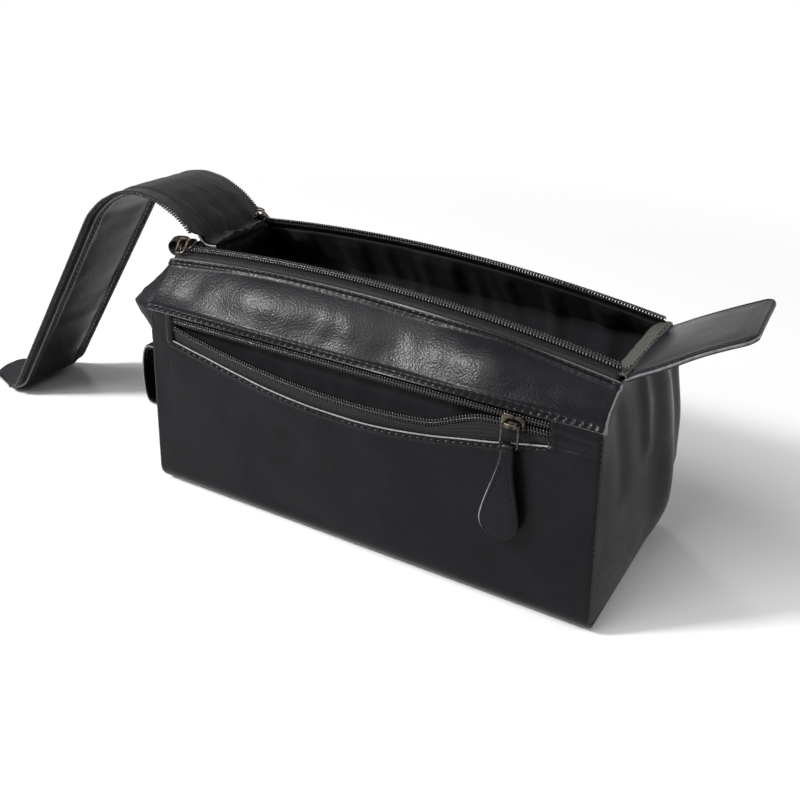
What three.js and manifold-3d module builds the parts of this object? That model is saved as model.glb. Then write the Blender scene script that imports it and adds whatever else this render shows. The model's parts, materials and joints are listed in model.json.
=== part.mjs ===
// A soft leather toiletry bag, standing open on a table.
// A long lid strip is sewn to the left end of the top opening and is thrown over to the left.
// Two coil zips join the lid's long edges to the front and rear edges of the opening.
// The front wall has a pocket with a zip of its own under the slanted front band.
// Frame: X runs along the bag to the right, Y to the rear, Z up. The origin is the centre of the base.

import * as THREE from 'three';
import { mergeVertices } from 'three/addons/utils/BufferGeometryUtils.js';
import Module from 'manifold-3d';

const wasm = await Module();
wasm.setup();

// Body of the bag, in millimetres
const bag_length = 250;
const bag_depth = 110;
const shoulder_height = 104.5;
const left_end_lean = 3.3;
const right_end_lean = 5.8;
const base_corner_radius = 10;
const front_bulge = 2;
const rear_bulge = 3;
const band_crown = 2.2;
const end_bulge = 3;
const left_ear = 9;
const left_ear_rise = 1.5;
const left_ear_spread = 24;
const ear_front_share = 0.9;
const end_seam = 0.8;
const end_rows_share = 0.97;
const root_seat_half_width = 24;

// Layers of the walls
const leather = 1.4;
const lining = 0.6;
const tape = 0.8;
const board = 1.5;
const clearance = 0.3;
const seam_margin = 1.3;

// Top opening: the coil line is an arc that rises above the shoulder by three heights
const opening_rise_left = 24.5;
const opening_rise_middle = 29.5;
const opening_rise_right = 18;
const opening_half_width = 29;
const edge_margin = 7.4;
const edge_drop = 4.2;
const tape_shoulder = 1.2;
const tape_shoulder_drop = 0.6;
const tape_tuck = 5;

// Zip chain: half of it is on each tape
const coil_thickness = 2.2;
const coil_reach = 2.6;
const coil_valley = 1.1;
const coil_pitch = 3;
const chain_gap = 1.7;

// Sliders and their wire bails
const slider_length = 11;
const slider_width = 7.5;
const slider_tail_width = 6;
const slider_plate = 1.1;
const slider_room = 3.4;
const slider_blade = 1.1;
const slider_blade_length = 4;
const plate_end_share = 0.6;
const plate_tail_share = 0.75;
const plate_waist_share = 0.15;
const plate_shoulder_share = 0.8;
const lug_length = 2.2;
const lug_span = 5;
const lug_wall = 0.8;
const lug_room = 3.2;
const wire = 1.2;
const bail_width = 9;
const bail_length = 12;
const main_bail_width = 6.4;
const main_bail_length = 9;
const bail_corner_share = 0.7;
const main_slider_setback = 6.2;
const main_bail_droop_deg = 20;

// Lid strip: it starts at the left end of the opening
const lid_root_length = 9.7;
const lid_leather_half_width = 22;
const lid_neck_half_width = 24.4;
const lid_neck_length = 6;
const lid_turn_piece = 5;
const lid_turn_direction_deg = 100;
const lid_arch_piece = 14;
const lid_arch_directions_deg = [140, 155, 172, 190, 208, 222];
const lid_straight_count = 3;
const lid_overlap = 8;
const lid_bend = 12;
const lid_bend_direction_deg = 207;
const lid_tongue = 28;
const lid_tip_half_width = 15;
const lid_joint_gap = 0.3;
const lid_leather_offset = 0.1;
const lid_lining_offset = 0.2;

// Grab tab on the right end
const tab_length = 53;
const tab_base_half_width = 33;
const tab_tip_half_width = 22;
const tab_corner = 5;
const tab_thickness = 2.6;
const tab_rise_deg = 28;
const tab_root_drop = 4.6;
const binding_width = 3.6;
const binding_thickness = 0.9;

// Front pocket: the mouth lies between two stations along the bag
const mouth_left_margin = 15.5;
const mouth_right_margin = 23.5;
const pocket_zip_drop = 7;
const pocket_lip_drop_left = 15.5;
const pocket_lip_drop_right = 13.5;
const pocket_lip_sag = 14;
const pocket_chain_sag = 12.5;
const pocket_chain_flare = 0.8;
const pocket_zip_depth = 1;
const pocket_floor = 26;
const pocket_room = 6;
const pouch_taper_share = 0.4;
const pocket_slider_margin = 44;
const mouth_edge = 0.5;

// Leather pull of the pocket slider
const pull_length = 47;
const pull_neck_width = 6;
const pull_end_width = 16.5;
const pull_thickness = 2.2;

// Carry loop on the left end
const loop_reach = 13;
const loop_top = 79;
const loop_bottom = 45;
const loop_width = 14;
const loop_inset = 4;
const loop_thickness = 2;
const loop_bow_share = 0.7;

// Rows and columns of the bodies' meshes, closer where a body bends
const end_column_shares = [1, 0.85, 0.45, 0.15];
const end_row_shares = [0, 0.02, 0.05, 0.08, 0.25, 0.42, 0.6, 0.75];
const bottom_turn_shares = [0.4, 1, 1.25, 1.6];
const pouch_row_shares = [0, 0.3, 0.65, 1, 1.5, 2, 3];
const loop_turn_shares = [-1, -0.85, -0.65, -0.35, 0, 0.35, 0.65, 0.85, 1];
const probe_step = 1e-3;

const half_length = bag_length / 2;
const half_depth = bag_depth / 2;
const edge_half_width = opening_half_width + edge_margin;
const degree = Math.PI / 180;

const black_leather = { color: 0x1b1b1d, roughness: 0.42, metalness: 0 };
const black_nylon = { color: 0x161617, roughness: 0.85, metalness: 0 };
const black_coil = { color: 0x1d1c1b, roughness: 0.4, metalness: 0 };
const dark_nickel = { color: 0x8f857a, roughness: 0.28, metalness: 1 };
const grey_board = { color: 0x3a3835, roughness: 0.8, metalness: 0 };

const bag = new THREE.Group();

function add(name, geometry, look, parent = bag) {
  const mesh = new THREE.Mesh(geometry, new THREE.MeshStandardMaterial(look));
  mesh.name = name;
  parent.add(mesh);
  return mesh;
}

// Shares from 0 to 1, and stations from one length to another, in equal steps.
function shares(steps) {
  return Array.from({ length: steps + 1 }, (_, i) => i / steps);
}

function stations(from, to, steps) {
  return shares(steps).map((share) => from + (to - from) * share);
}

// A closed body from corner points and triangles, with its faces turned outwards.
function closedBody(points, triangles) {
  let volume = 0;
  for (const [a, b, c] of triangles) {
    volume += points[a].dot(points[b].clone().cross(points[c]));
  }
  const index = triangles.flatMap(([a, b, c]) => (volume < 0 ? [a, c, b] : [a, b, c]));
  const places = points.flatMap((p) => p.toArray());
  const geometry = new THREE.BufferGeometry();
  geometry.setAttribute('position', new THREE.Float32BufferAttribute(places, 3));
  geometry.setIndex(index);
  return geometry;
}

// A sheet of material: point(u, v) gives its reference surface, and the wall reaches from
// low to high along the surface's normal.
function sheet(point, us, vs, low, high) {
  const rows = vs.length;
  const count = us.length * rows;
  const points = [];
  const normals = [];
  for (const u of us) {
    for (const v of vs) {
      const along = point(u + probe_step, v).sub(point(u - probe_step, v));
      const across = point(u, v + probe_step).sub(point(u, v - probe_step));
      normals.push(along.cross(across).normalize());
      points.push(point(u, v));
    }
  }
  const layer = (offset) => points.map((p, i) => p.clone().addScaledVector(normals[i], offset));
  const layers = [...layer(low), ...layer(high)];
  const triangles = [];
  const quad = (a, b, c, d) => triangles.push([a, b, c], [a, c, d]);
  for (let i = 0; i + 1 < us.length; i += 1) {
    for (let j = 0; j + 1 < rows; j += 1) {
      const a = i * rows + j;
      quad(a, a + 1, a + rows + 1, a + rows);
      quad(count + a, count + a + rows, count + a + rows + 1, count + a + 1);
    }
  }
  for (let i = 0; i + 1 < us.length; i += 1) {
    const a = i * rows;
    const b = a + rows - 1;
    quad(a, a + rows, count + a + rows, count + a);
    quad(b, count + b, count + b + rows, b + rows);
  }
  for (let j = 0; j + 1 < rows; j += 1) {
    const b = (us.length - 1) * rows + j;
    quad(j, count + j, count + j + 1, j + 1);
    quad(b, b + 1, count + b + 1, count + b);
  }
  return closedBody(layers, triangles);
}

// A point on a bent line: share counts the legs from its first corner.
function onPath(path, share) {
  const i = THREE.MathUtils.clamp(Math.floor(share), 0, path.length - 2);
  return path[i].map((value, k) => THREE.MathUtils.lerp(value, path[i + 1][k], share - i));
}

function solid(geometry) {
  const bare = new THREE.BufferGeometry();
  bare.setAttribute('position', geometry.getAttribute('position').clone());
  if (geometry.index) bare.setIndex(geometry.index.clone());
  const merged = mergeVertices(bare);
  const mesh = new wasm.Mesh({
    numProp: 3,
    vertProperties: new Float32Array(merged.getAttribute('position').array),
    triVerts: new Uint32Array(merged.index.array),
  });
  return new wasm.Manifold(mesh);
}

function joined(geometries) {
  const body = geometries.map(solid).reduce((sum, next) => sum.add(next));
  const mesh = body.getMesh();
  const geometry = new THREE.BufferGeometry();
  geometry.setAttribute('position', new THREE.BufferAttribute(new Float32Array(mesh.vertProperties), 3));
  geometry.setIndex(new THREE.BufferAttribute(new Uint32Array(mesh.triVerts), 1));
  return geometry;
}

function slab(x0, x1, y0, y1, z0, z1) {
  const box = new THREE.BoxGeometry(x1 - x0, y1 - y0, z1 - z0);
  return box.translate((x0 + x1) / 2, (y0 + y1) / 2, (z0 + z1) / 2);
}

// The arc of the opening, through its left, middle and right heights.
const opening_left = -(half_length - left_end_lean);
const opening_right = half_length - right_end_lean;
const lid_hinge_station = opening_left + lid_root_length;
const main_slider_start = opening_left + main_slider_setback;

function circleThrough(a, b, c) {
  const d = 2 * (a.x * (b.y - c.y) + b.x * (c.y - a.y) + c.x * (a.y - b.y));
  const sa = a.lengthSq();
  const sb = b.lengthSq();
  const sc = c.lengthSq();
  const x = (sa * (b.y - c.y) + sb * (c.y - a.y) + sc * (a.y - b.y)) / d;
  const y = (sa * (c.x - b.x) + sb * (a.x - c.x) + sc * (b.x - a.x)) / d;
  const centre = new THREE.Vector2(x, y);
  return { centre, radius: centre.distanceTo(a) };
}

const arc = circleThrough(
  new THREE.Vector2(opening_left, shoulder_height + opening_rise_left),
  new THREE.Vector2(0, shoulder_height + opening_rise_middle),
  new THREE.Vector2(opening_right, shoulder_height + opening_rise_right),
);

function openingHeight(x) {
  return arc.centre.y + Math.sqrt(arc.radius ** 2 - (x - arc.centre.x) ** 2);
}

function openingSlope(x) {
  return Math.asin((arc.centre.x - x) / arc.radius);
}

// The ends lean in from the base to the shoulder and on to the opening.
function endStation(side, z) {
  const lean = side < 0 ? left_end_lean : right_end_lean;
  const share = Math.min(z / shoulder_height, 1);
  return side * (half_length - lean * share);
}

// A station on the flat length of the bag is drawn in with the leaning ends.
function drawnIn(station, z) {
  const side = station < 0 ? -1 : 1;
  return station * (Math.abs(endStation(side, z)) / half_length);
}

function lengthShare(station) {
  return (station + half_length) / bag_length;
}

// Half the depth of the leather's outer face at a height, without its bulges.
function halfDepthAt(z, x) {
  if (z < base_corner_radius) {
    const rise = base_corner_radius - z;
    return half_depth - base_corner_radius + Math.sqrt(base_corner_radius ** 2 - rise ** 2);
  }
  if (z < shoulder_height) return half_depth;
  const top = openingHeight(x) - edge_drop;
  const share = (z - shoulder_height) / (top - shoulder_height);
  return THREE.MathUtils.lerp(half_depth, edge_half_width, share);
}

const body_columns = stations(-half_length, half_length, 14);

// The ends' rows are level up to this height, and above it they follow the top edge.
const end_rows_top = shoulder_height + end_rows_share * (opening_rise_right - edge_drop);

// Slanted band between the shoulder seam and the edge of the opening
function bandPoint(side) {
  return (station, share) => {
    const x = drawnIn(station, shoulder_height);
    const top = openingHeight(x) - edge_drop;
    const z = shoulder_height + (top - shoulder_height) * share;
    const crown = band_crown * Math.sin(Math.PI * share) * Math.sin(Math.PI * lengthShare(station));
    return new THREE.Vector3(x, side * (halfDepthAt(z, x) + crown), z + crown * share);
  };
}

// Pocket mouth: the lip and its half of the chain sag below the straight upper half
const pocket_zip_height = shoulder_height - pocket_zip_drop;
const mouth_left = -half_length + mouth_left_margin;
const mouth_right = half_length - mouth_right_margin;

function mouthShare(station) {
  return THREE.MathUtils.clamp((station - mouth_left) / (mouth_right - mouth_left), 0, 1);
}

function lipHeight(station) {
  const share = mouthShare(station);
  const drop = THREE.MathUtils.lerp(pocket_lip_drop_left, pocket_lip_drop_right, share);
  return shoulder_height - drop - pocket_lip_sag * Math.sin(Math.PI * share);
}

function lowerChainHeight(station) {
  const sag = Math.sin(Math.PI * mouthShare(station)) ** pocket_chain_flare;
  return pocket_zip_height - chain_gap / 2 - pocket_chain_sag * sag;
}

function mouthBulge(station) {
  return front_bulge * Math.sin(Math.PI * mouthShare(station)) ** 2;
}

function frontTop(station) {
  const inside = station > mouth_left && station < mouth_right;
  return inside ? lipHeight(station) : shoulder_height - seam_margin;
}

// The front wall's outer face: it bulges towards the pocket's lip.
function frontFace(station, z) {
  const share = (z - base_corner_radius) / (lipHeight(station) - base_corner_radius);
  const bulge = mouthBulge(station) * Math.sin((Math.PI / 2) * THREE.MathUtils.clamp(share, 0, 1));
  return -half_depth - bulge;
}

function frontPoint(station, share) {
  const z = base_corner_radius + (frontTop(station) - base_corner_radius) * share;
  return new THREE.Vector3(drawnIn(station, z), frontFace(station, z), z);
}

function rearPoint(station, share) {
  const z = base_corner_radius + (shoulder_height - seam_margin - base_corner_radius) * share;
  const bulge = rear_bulge * Math.sin(Math.PI * lengthShare(station)) * Math.sin(Math.PI * share);
  return new THREE.Vector3(drawnIn(station, z), half_depth + bulge, z);
}

// Bottom: flat in the middle and turned up round both long edges
function bottomPoint(inset) {
  const radius = base_corner_radius - inset;
  const flat = half_depth - base_corner_radius;
  return (station, turn) => {
    const side = Math.sign(turn);
    const angle = Math.max(Math.abs(turn) - 1, 0) * (Math.PI / 2);
    const y = side * (flat * Math.min(Math.abs(turn), 1) + radius * Math.sin(angle));
    const z = base_corner_radius - radius * Math.cos(angle);
    return new THREE.Vector3(drawnIn(station, z), y, z);
  };
}

// The same, for a layer that lies inside the outer face by an inset along the normal.
function insideHalfDepth(z, x, inset) {
  if (z >= shoulder_height) {
    const rise = openingHeight(x) - edge_drop - shoulder_height;
    return halfDepthAt(z, x) - inset * Math.hypot(1, (half_depth - edge_half_width) / rise);
  }
  if (z >= base_corner_radius) return half_depth - inset;
  const radius = base_corner_radius - inset;
  const rise = base_corner_radius - z;
  return half_depth - base_corner_radius + Math.sqrt(Math.max(radius ** 2 - rise ** 2, 0));
}

function hump(share) {
  return Math.sin(Math.PI * THREE.MathUtils.clamp(share, 0, 1));
}

// One end of the bag. The left end has a soft ear behind its front shoulder,
// and its top edge rises in the middle to carry the root of the lid.

function endTop(side, y) {
  const x = side < 0 ? opening_left : opening_right;
  const seat = side < 0 && Math.abs(y) < root_seat_half_width;
  const drop = seat ? lid_lining_offset + lining + clearance : edge_drop;
  return openingHeight(x) - drop;
}

function endPoint(side) {
  const inset = leather + clearance;
  const end_height = openingHeight(opening_right) - edge_drop;
  return (across, share) => {
    const low = inset + (end_rows_top - inset) * Math.min(share, 1);
    const wall_x = endStation(side, low);
    const edge = insideHalfDepth(low, wall_x, inset);
    const top_edge = insideHalfDepth(endTop(side, half_depth), opening_right, inset);
    const rise = Math.max(share - 1, 0);
    const y = across * (edge + (top_edge - edge) * rise);
    const z = low + (endTop(side, across * top_edge) - low) * rise;
    const ear_share = (z - shoulder_height - left_ear_rise) / (2 * left_ear_spread) + 1 / 2;
    const ear = side < 0 ? left_ear * hump(ear_share) ** 2 * hump((across + 1) / ear_front_share) : 0;
    const bulge = end_bulge * hump(z / end_height) * (1 - across ** 2) + ear;
    return new THREE.Vector3(endStation(side, z) + side * (bulge - end_seam), y, z);
  };
}

function makeWalls() {
  const mouth_columns = [
    ...stations(-half_length, mouth_left - mouth_edge, 2),
    ...stations(mouth_left + mouth_edge, mouth_right - mouth_edge, 16),
    ...stations(mouth_right + mouth_edge, half_length, 2),
  ];
  add('front_panel', sheet(frontPoint, mouth_columns, shares(5), -leather, 0), black_leather);
  add('back_panel', sheet(rearPoint, body_columns, shares(5), 0, leather), black_leather);
  add('front_band', sheet(bandPoint(-1), body_columns, shares(4), -leather, 0), black_leather);
  add('back_band', sheet(bandPoint(1), body_columns, shares(4), 0, leather), black_leather);
  const turn_limit = 2 - seam_margin / base_corner_radius;
  const turns = [...bottom_turn_shares, turn_limit];
  const all_turns = [...turns.map((turn) => -turn).reverse(), ...turns];
  const bottom_columns = stations(-half_length, half_length, 4);
  add('bottom_panel', sheet(bottomPoint(0), bottom_columns, all_turns, 0, leather), black_leather);
  const top_edge = insideHalfDepth(endTop(1, half_depth), opening_right, leather + clearance);
  const seat_share = root_seat_half_width / top_edge;
  const across = [...end_column_shares, seat_share, seat_share + mouth_edge / half_depth];
  across.sort((a, b) => a - b);
  const columns = [...across.map((share) => -share).reverse(), ...across];
  const rows = [...end_row_shares, shoulder_height / end_rows_top, 1, 2];
  add('left_end_panel', sheet(endPoint(-1), columns, rows, 0, leather), black_leather);
  add('right_end_panel', sheet(endPoint(1), columns, rows, -leather, 0), black_leather);
}

// Stiffener and lining. The lining ends clear of both ends of the bag.
// It hangs inside the leather, and its front wall leaves room for the pocket.
const lining_length_share = 1 - (leather + seam_margin + clearance) / half_length;
const front_wall_inset = leather + clearance + lining + pocket_room + lining + clearance;
const band_inset = 2 * leather + 2 * clearance + tape;

function liningPoint(side, wall_inset) {
  return (station, share) => {
    const x = drawnIn(station, shoulder_height);
    const top = openingHeight(x) - edge_drop - clearance;
    const slope = (half_depth - edge_half_width) / (top - shoulder_height);
    const bend = shoulder_height + (wall_inset - band_inset) / slope;
    const low = leather + board + 3 * clearance + lining;
    const z = share < 1 ? low + (bend - low) * share : bend + (top - bend) * (share - 1);
    const y = share < 1 ? half_depth - wall_inset : halfDepthAt(z, x) - band_inset;
    return new THREE.Vector3(drawnIn(station, z) * lining_length_share, side * y, z);
  };
}

function endLiningPoint(side) {
  const low = leather + board + 3 * clearance + lining;
  const high = openingHeight(side < 0 ? opening_left : opening_right) - edge_drop;
  const inset = end_seam + leather + clearance;
  return (across, share) => {
    const z = low + (high - low) * share;
    const slant = halfDepthAt(z, endStation(side, z)) - band_inset - lining - clearance;
    const front = Math.min(half_depth - front_wall_inset - lining - clearance, slant);
    const back = Math.min(half_depth - band_inset - lining - clearance, slant);
    const y = THREE.MathUtils.lerp(-front, back, across);
    return new THREE.Vector3(endStation(side, z) - side * inset, y, z);
  };
}

function makeInside() {
  const flat = half_depth - base_corner_radius;
  const length = half_length - end_seam - leather - 2 * clearance - lining;
  const board_low = leather + clearance;
  add('bottom_board', slab(-length, length, -flat, flat, board_low, board_low + board), grey_board);
  const floor_low = board_low + board + clearance;
  const floor_front = half_depth - front_wall_inset;
  const floor_back = insideHalfDepth(floor_low, 0, leather + clearance) - clearance;
  const floor = slab(-length, length, -floor_front, floor_back, floor_low, floor_low + lining);
  add('bottom_lining', floor, black_nylon);
  const rows = [0, 0.5, 1, 1.5, 2];
  add('front_lining', sheet(liningPoint(-1, front_wall_inset), body_columns, rows, -lining, 0), black_nylon);
  add('back_lining', sheet(liningPoint(1, band_inset), body_columns, rows, 0, lining), black_nylon);
  const end_rows = [0, 0.5, shoulder_height / openingHeight(0), 1];
  add('left_lining', sheet(endLiningPoint(-1), shares(2), end_rows, 0, lining), black_nylon);
  add('right_lining', sheet(endLiningPoint(1), shares(2), end_rows, -lining, 0), black_nylon);
}

// Half a zip chain: a run of wedge-shaped turns from a back line towards the other half.
// place(x) gives the back line's point, and reach its direction.
function coil(place, from, to, reach, rise) {
  const steps = Math.max(2, 2 * Math.round((to - from) / coil_pitch));
  const half = coil_thickness / 2;
  const points = stations(from, to, steps).flatMap((x, i) => {
    const back = place(x);
    const length = i % 2 ? coil_reach : coil_valley;
    return [
      back.clone().addScaledVector(rise, half),
      back.clone().addScaledVector(rise, -half),
      back.clone().addScaledVector(reach, length),
    ];
  });
  const triangles = [[0, 1, 2]];
  for (let i = 0; i < steps; i += 1) {
    for (let k = 0; k < 3; k += 1) {
      const a = 3 * i + k;
      const b = 3 * i + ((k + 1) % 3);
      triangles.push([a, a + 3, b + 3], [a, b + 3, b]);
    }
  }
  const last = 3 * steps;
  triangles.push([last, last + 2, last + 1]);
  return closedBody(points, triangles);
}

const up = new THREE.Vector3(0, 0, 1);
const outward = new THREE.Vector3(0, -1, 0);
const coil_back = opening_half_width + chain_gap / 2 + coil_reach;

// Tape of the opening: level beside the coil, then down behind the leather edge.
function openingTapePoint(side) {
  const level = coil_back + clearance;
  const tuck_inset = leather + clearance + tape / 2;
  return (station, share) => {
    const x = station;
    const h = openingHeight(x);
    const edge = h - edge_drop;
    const low = edge - tape_tuck;
    const behind = (z) => insideHalfDepth(z, x, tuck_inset);
    const path = [
      [level, h],
      [level + tape_shoulder, h - tape_shoulder_drop],
      [behind(edge), edge],
      [behind(low), low],
    ];
    const [y, z] = onPath(path, share);
    return new THREE.Vector3(x, side * y, z);
  };
}

function makeOpeningZips() {
  const margin = end_seam + leather + clearance;
  const from = opening_left + margin;
  const to = opening_right - margin;
  const columns = stations(from, to, 12);
  for (const [side, name] of [[-1, 'front'], [1, 'back']]) {
    const line = (x) => new THREE.Vector3(x, side * coil_back, openingHeight(x));
    const inward = new THREE.Vector3(0, -side, 0);
    const strip = sheet(openingTapePoint(side), columns, [0, 1, 2, 3], -tape / 2, tape / 2);
    add(`${name}_tape`, strip, black_nylon);
    add(`${name}_coil`, coil(line, from, to, inward, up), black_coil);
  }
  const top = openingHeight(opening_right) - edge_drop + clearance;
  const right = opening_right - end_seam;
  const reach = coil_back - binding_thickness;
  const binding = slab(right - binding_width, right, -reach, reach, top, top + binding_thickness);
  add('right_end_binding', binding, black_nylon);
}

// Pocket in the front wall
function pocketTapePoint(station, share) {
  const lip = lipHeight(station);
  const back = lowerChainHeight(station) - coil_reach - 2 * clearance;
  const inner = frontFace(station, lip) + leather + clearance + tape / 2;
  const path = [
    [inner, lip - tape_tuck],
    [inner, lip],
    [frontFace(station, lip) + pocket_zip_depth, back],
  ];
  const [y, z] = onPath(path, share);
  return new THREE.Vector3(drawnIn(station, shoulder_height), y, z);
}

function pouchPoint(station, share) {
  const deep = Math.sin(Math.PI * mouthShare(station)) ** pouch_taper_share;
  const bottom = pocket_floor;
  const face = (z) => frontFace(station, z) + leather + clearance + lining / 2;
  const back = -half_depth + leather + clearance + lining + (pocket_room + lining / 2) * deep;
  const top_front = lipHeight(station) - tape_tuck - clearance;
  const top_back = shoulder_height - 2 * seam_margin;
  const x = drawnIn(station, shoulder_height);
  if (share < 1) {
    const z = THREE.MathUtils.lerp(top_front, bottom, share);
    return new THREE.Vector3(x, face(z), z);
  }
  if (share > 2) return new THREE.Vector3(x, back, THREE.MathUtils.lerp(bottom, top_back, share - 2));
  const turn = Math.PI * (share - 1);
  const front = face(bottom);
  const radius = (back - front) / 2;
  return new THREE.Vector3(x, front + radius * (1 - Math.cos(turn)), bottom - radius * Math.sin(turn));
}

function makePocket() {
  const from = mouth_left + seam_margin;
  const to = mouth_right - seam_margin;
  const depth = -half_depth + pocket_zip_depth;
  const upper_back = pocket_zip_height + chain_gap / 2 + coil_reach;
  const upper_line = (station) => new THREE.Vector3(drawnIn(station, shoulder_height), depth, upper_back);
  const lower_line = (station) => {
    const back = lowerChainHeight(station) - coil_reach;
    return new THREE.Vector3(drawnIn(station, shoulder_height), depth - mouthBulge(station), back);
  };
  const down = new THREE.Vector3(0, 0, -1);
  const tape_low = upper_back + clearance;
  const tape_high = shoulder_height - seam_margin;
  const left = drawnIn(from, shoulder_height);
  const right = drawnIn(to, shoulder_height);
  const upper = slab(left, right, depth - tape / 2, depth + tape / 2, tape_low, tape_high);
  add('pocket_upper_tape', upper, black_nylon);
  add('pocket_upper_coil', coil(upper_line, from, to, down, outward), black_coil);
  const lower = sheet(pocketTapePoint, stations(from, to, 16), [0, 1, 2], -tape / 2, tape / 2);
  add('pocket_lower_tape', lower, black_nylon);
  add('pocket_lower_coil', coil(lower_line, from, to, up, outward), black_coil);
  const pouch = sheet(pouchPoint, stations(from, to, 12), pouch_row_shares, -lining / 2, lining / 2);
  add('pocket_lining', pouch, black_nylon);
}

// Slider: two plates joined by a blade at the front, and a lug on top for the bail.
// Its own frame: x is the way it closes, y lies across the chain, z points off the bag.
const plate_top = slider_room / 2 + slider_plate;
const bar_height = plate_top + lug_room - clearance - wire / 2;

function plateShape() {
  const front = slider_length / 2;
  const wide = slider_width / 2;
  const tail = slider_tail_width / 2;
  const half = [
    [-front, tail * plate_end_share],
    [-front * plate_tail_share, tail],
    [front * plate_waist_share, wide],
    [front * plate_shoulder_share, wide],
    [front, wide * plate_end_share],
  ];
  const other_half = half.map(([x, y]) => [x, -y]).reverse();
  return new THREE.Shape([...half, ...other_half].map(([x, y]) => new THREE.Vector2(x, y)));
}

function extruded(shape, depth, curveSegments = 6) {
  const geometry = new THREE.ExtrudeGeometry(shape, { depth, bevelEnabled: false, curveSegments });
  return geometry.translate(0, 0, -depth / 2);
}

// Turns an extruded y-z outline so that its length runs along x.
const along_x = new THREE.Matrix4().makeBasis(
  new THREE.Vector3(0, 1, 0),
  new THREE.Vector3(0, 0, 1),
  new THREE.Vector3(1, 0, 0),
);

function lugGeometry() {
  const half = lug_span / 2;
  const height = lug_room + lug_wall;
  const slope = lug_wall / 2;
  const sink = slider_plate / 2;
  const shape = new THREE.Shape();
  shape.moveTo(-half, -sink);
  shape.lineTo(-half, height / 2);
  shape.lineTo(-half + slope, height);
  shape.lineTo(half - slope, height);
  shape.lineTo(half, height / 2);
  shape.lineTo(half, -sink);
  shape.lineTo(half - lug_wall, -sink);
  shape.lineTo(half - lug_wall, lug_room);
  shape.lineTo(-half + lug_wall, lug_room);
  shape.lineTo(-half + lug_wall, -sink);
  return extruded(shape, lug_length).applyMatrix4(along_x).translate(0, 0, plate_top);
}

function sliderGeometry() {
  const lift = (slider_room + slider_plate) / 2;
  const upper = extruded(plateShape(), slider_plate).translate(0, 0, lift);
  const lower = extruded(plateShape(), slider_plate).translate(0, 0, -lift);
  const front = slider_length / 2 - slider_plate / 2;
  const blade_half = slider_blade / 2;
  const blade = slab(front - slider_blade_length, front, -blade_half, blade_half, -lift, lift);
  return joined([upper, lower, blade, lugGeometry()]);
}

// Wire bail: its top bar lies in the lug, and it hangs towards -y.
function bailGeometry(width, length) {
  const half = width / 2;
  const top = wire / 2;
  const shape = new THREE.Shape();
  const corner = wire * bail_corner_share;
  shape.moveTo(-half, top - corner);
  shape.lineTo(-half + corner, top);
  shape.lineTo(half - corner, top);
  shape.lineTo(half, top - corner);
  shape.lineTo(half, top - length + corner);
  shape.lineTo(half - corner, top - length);
  shape.lineTo(-half + corner, top - length);
  shape.lineTo(-half, top - length + corner);
  const hole = new THREE.Path();
  hole.moveTo(-half + wire, top - wire);
  hole.lineTo(-half + wire, top - length + wire);
  hole.lineTo(half - wire, top - length + wire);
  hole.lineTo(half - wire, top - wire);
  shape.holes.push(hole);
  return extruded(shape, wire);
}

function makeMainSliders() {
  const slope = openingSlope(main_slider_start);
  for (const [side, name] of [[-1, 'front'], [1, 'back']]) {
    const carrier = new THREE.Group();
    carrier.position.set(main_slider_start, side * opening_half_width, openingHeight(main_slider_start));
    carrier.rotation.y = -slope;
    bag.add(carrier);
    add(`${name}_slider`, sliderGeometry(), dark_nickel, carrier);
    const wire_loop = bailGeometry(main_bail_width, main_bail_length);
    const bail = add(`${name}_slider_bail`, wire_loop, dark_nickel, carrier);
    const droop = main_bail_droop_deg * degree;
    bail.position.z = bar_height;
    bail.rotation.x = side < 0 ? droop : Math.PI - droop;
  }
}

// Leather pull: a teardrop that hangs from its eye, which goes round the bail's lower bar.
function pullGeometry() {
  const inner = wire * Math.SQRT1_2 + clearance;
  const outer = inner + pull_thickness / 2;
  const eye = new THREE.Shape();
  eye.absarc(0, 0, outer, 0, 2 * Math.PI);
  const bore = new THREE.Path();
  bore.absarc(0, 0, inner, 0, 2 * Math.PI, true);
  eye.holes.push(bore);
  const ring = extruded(eye, pull_neck_width).applyMatrix4(along_x);
  const neck = pull_neck_width / 2;
  const round = pull_end_width / 2;
  const start = -(inner + outer) / 2;
  const centre = -(pull_length - round);
  const shape = new THREE.Shape();
  shape.moveTo(neck, start);
  shape.lineTo(neck, start - neck);
  shape.quadraticCurveTo(round, centre / 2, round, centre);
  shape.absarc(0, centre, round, 0, -Math.PI, true);
  shape.quadraticCurveTo(-round, centre / 2, -neck, start - neck);
  shape.lineTo(-neck, start);
  return joined([ring, extruded(shape, pull_thickness)]);
}

// The pocket's slider stands upright with its front to the left, where the mouth is open.
function makePocketSlider() {
  const carrier = new THREE.Group();
  const station = half_length - pocket_slider_margin;
  carrier.position.set(station, -half_depth + pocket_zip_depth, pocket_zip_height);
  carrier.rotation.x = Math.PI / 2;
  bag.add(carrier);
  const slider = add('pocket_slider', sliderGeometry(), dark_nickel, carrier);
  slider.rotation.z = Math.PI;
  const bail = add('pocket_bail', bailGeometry(bail_width, bail_length), dark_nickel, carrier);
  bail.position.z = bar_height;
  const pull = add('pocket_pull', pullGeometry(), black_leather, carrier);
  pull.position.set(0, wire - bail_length, bar_height);
}

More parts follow.
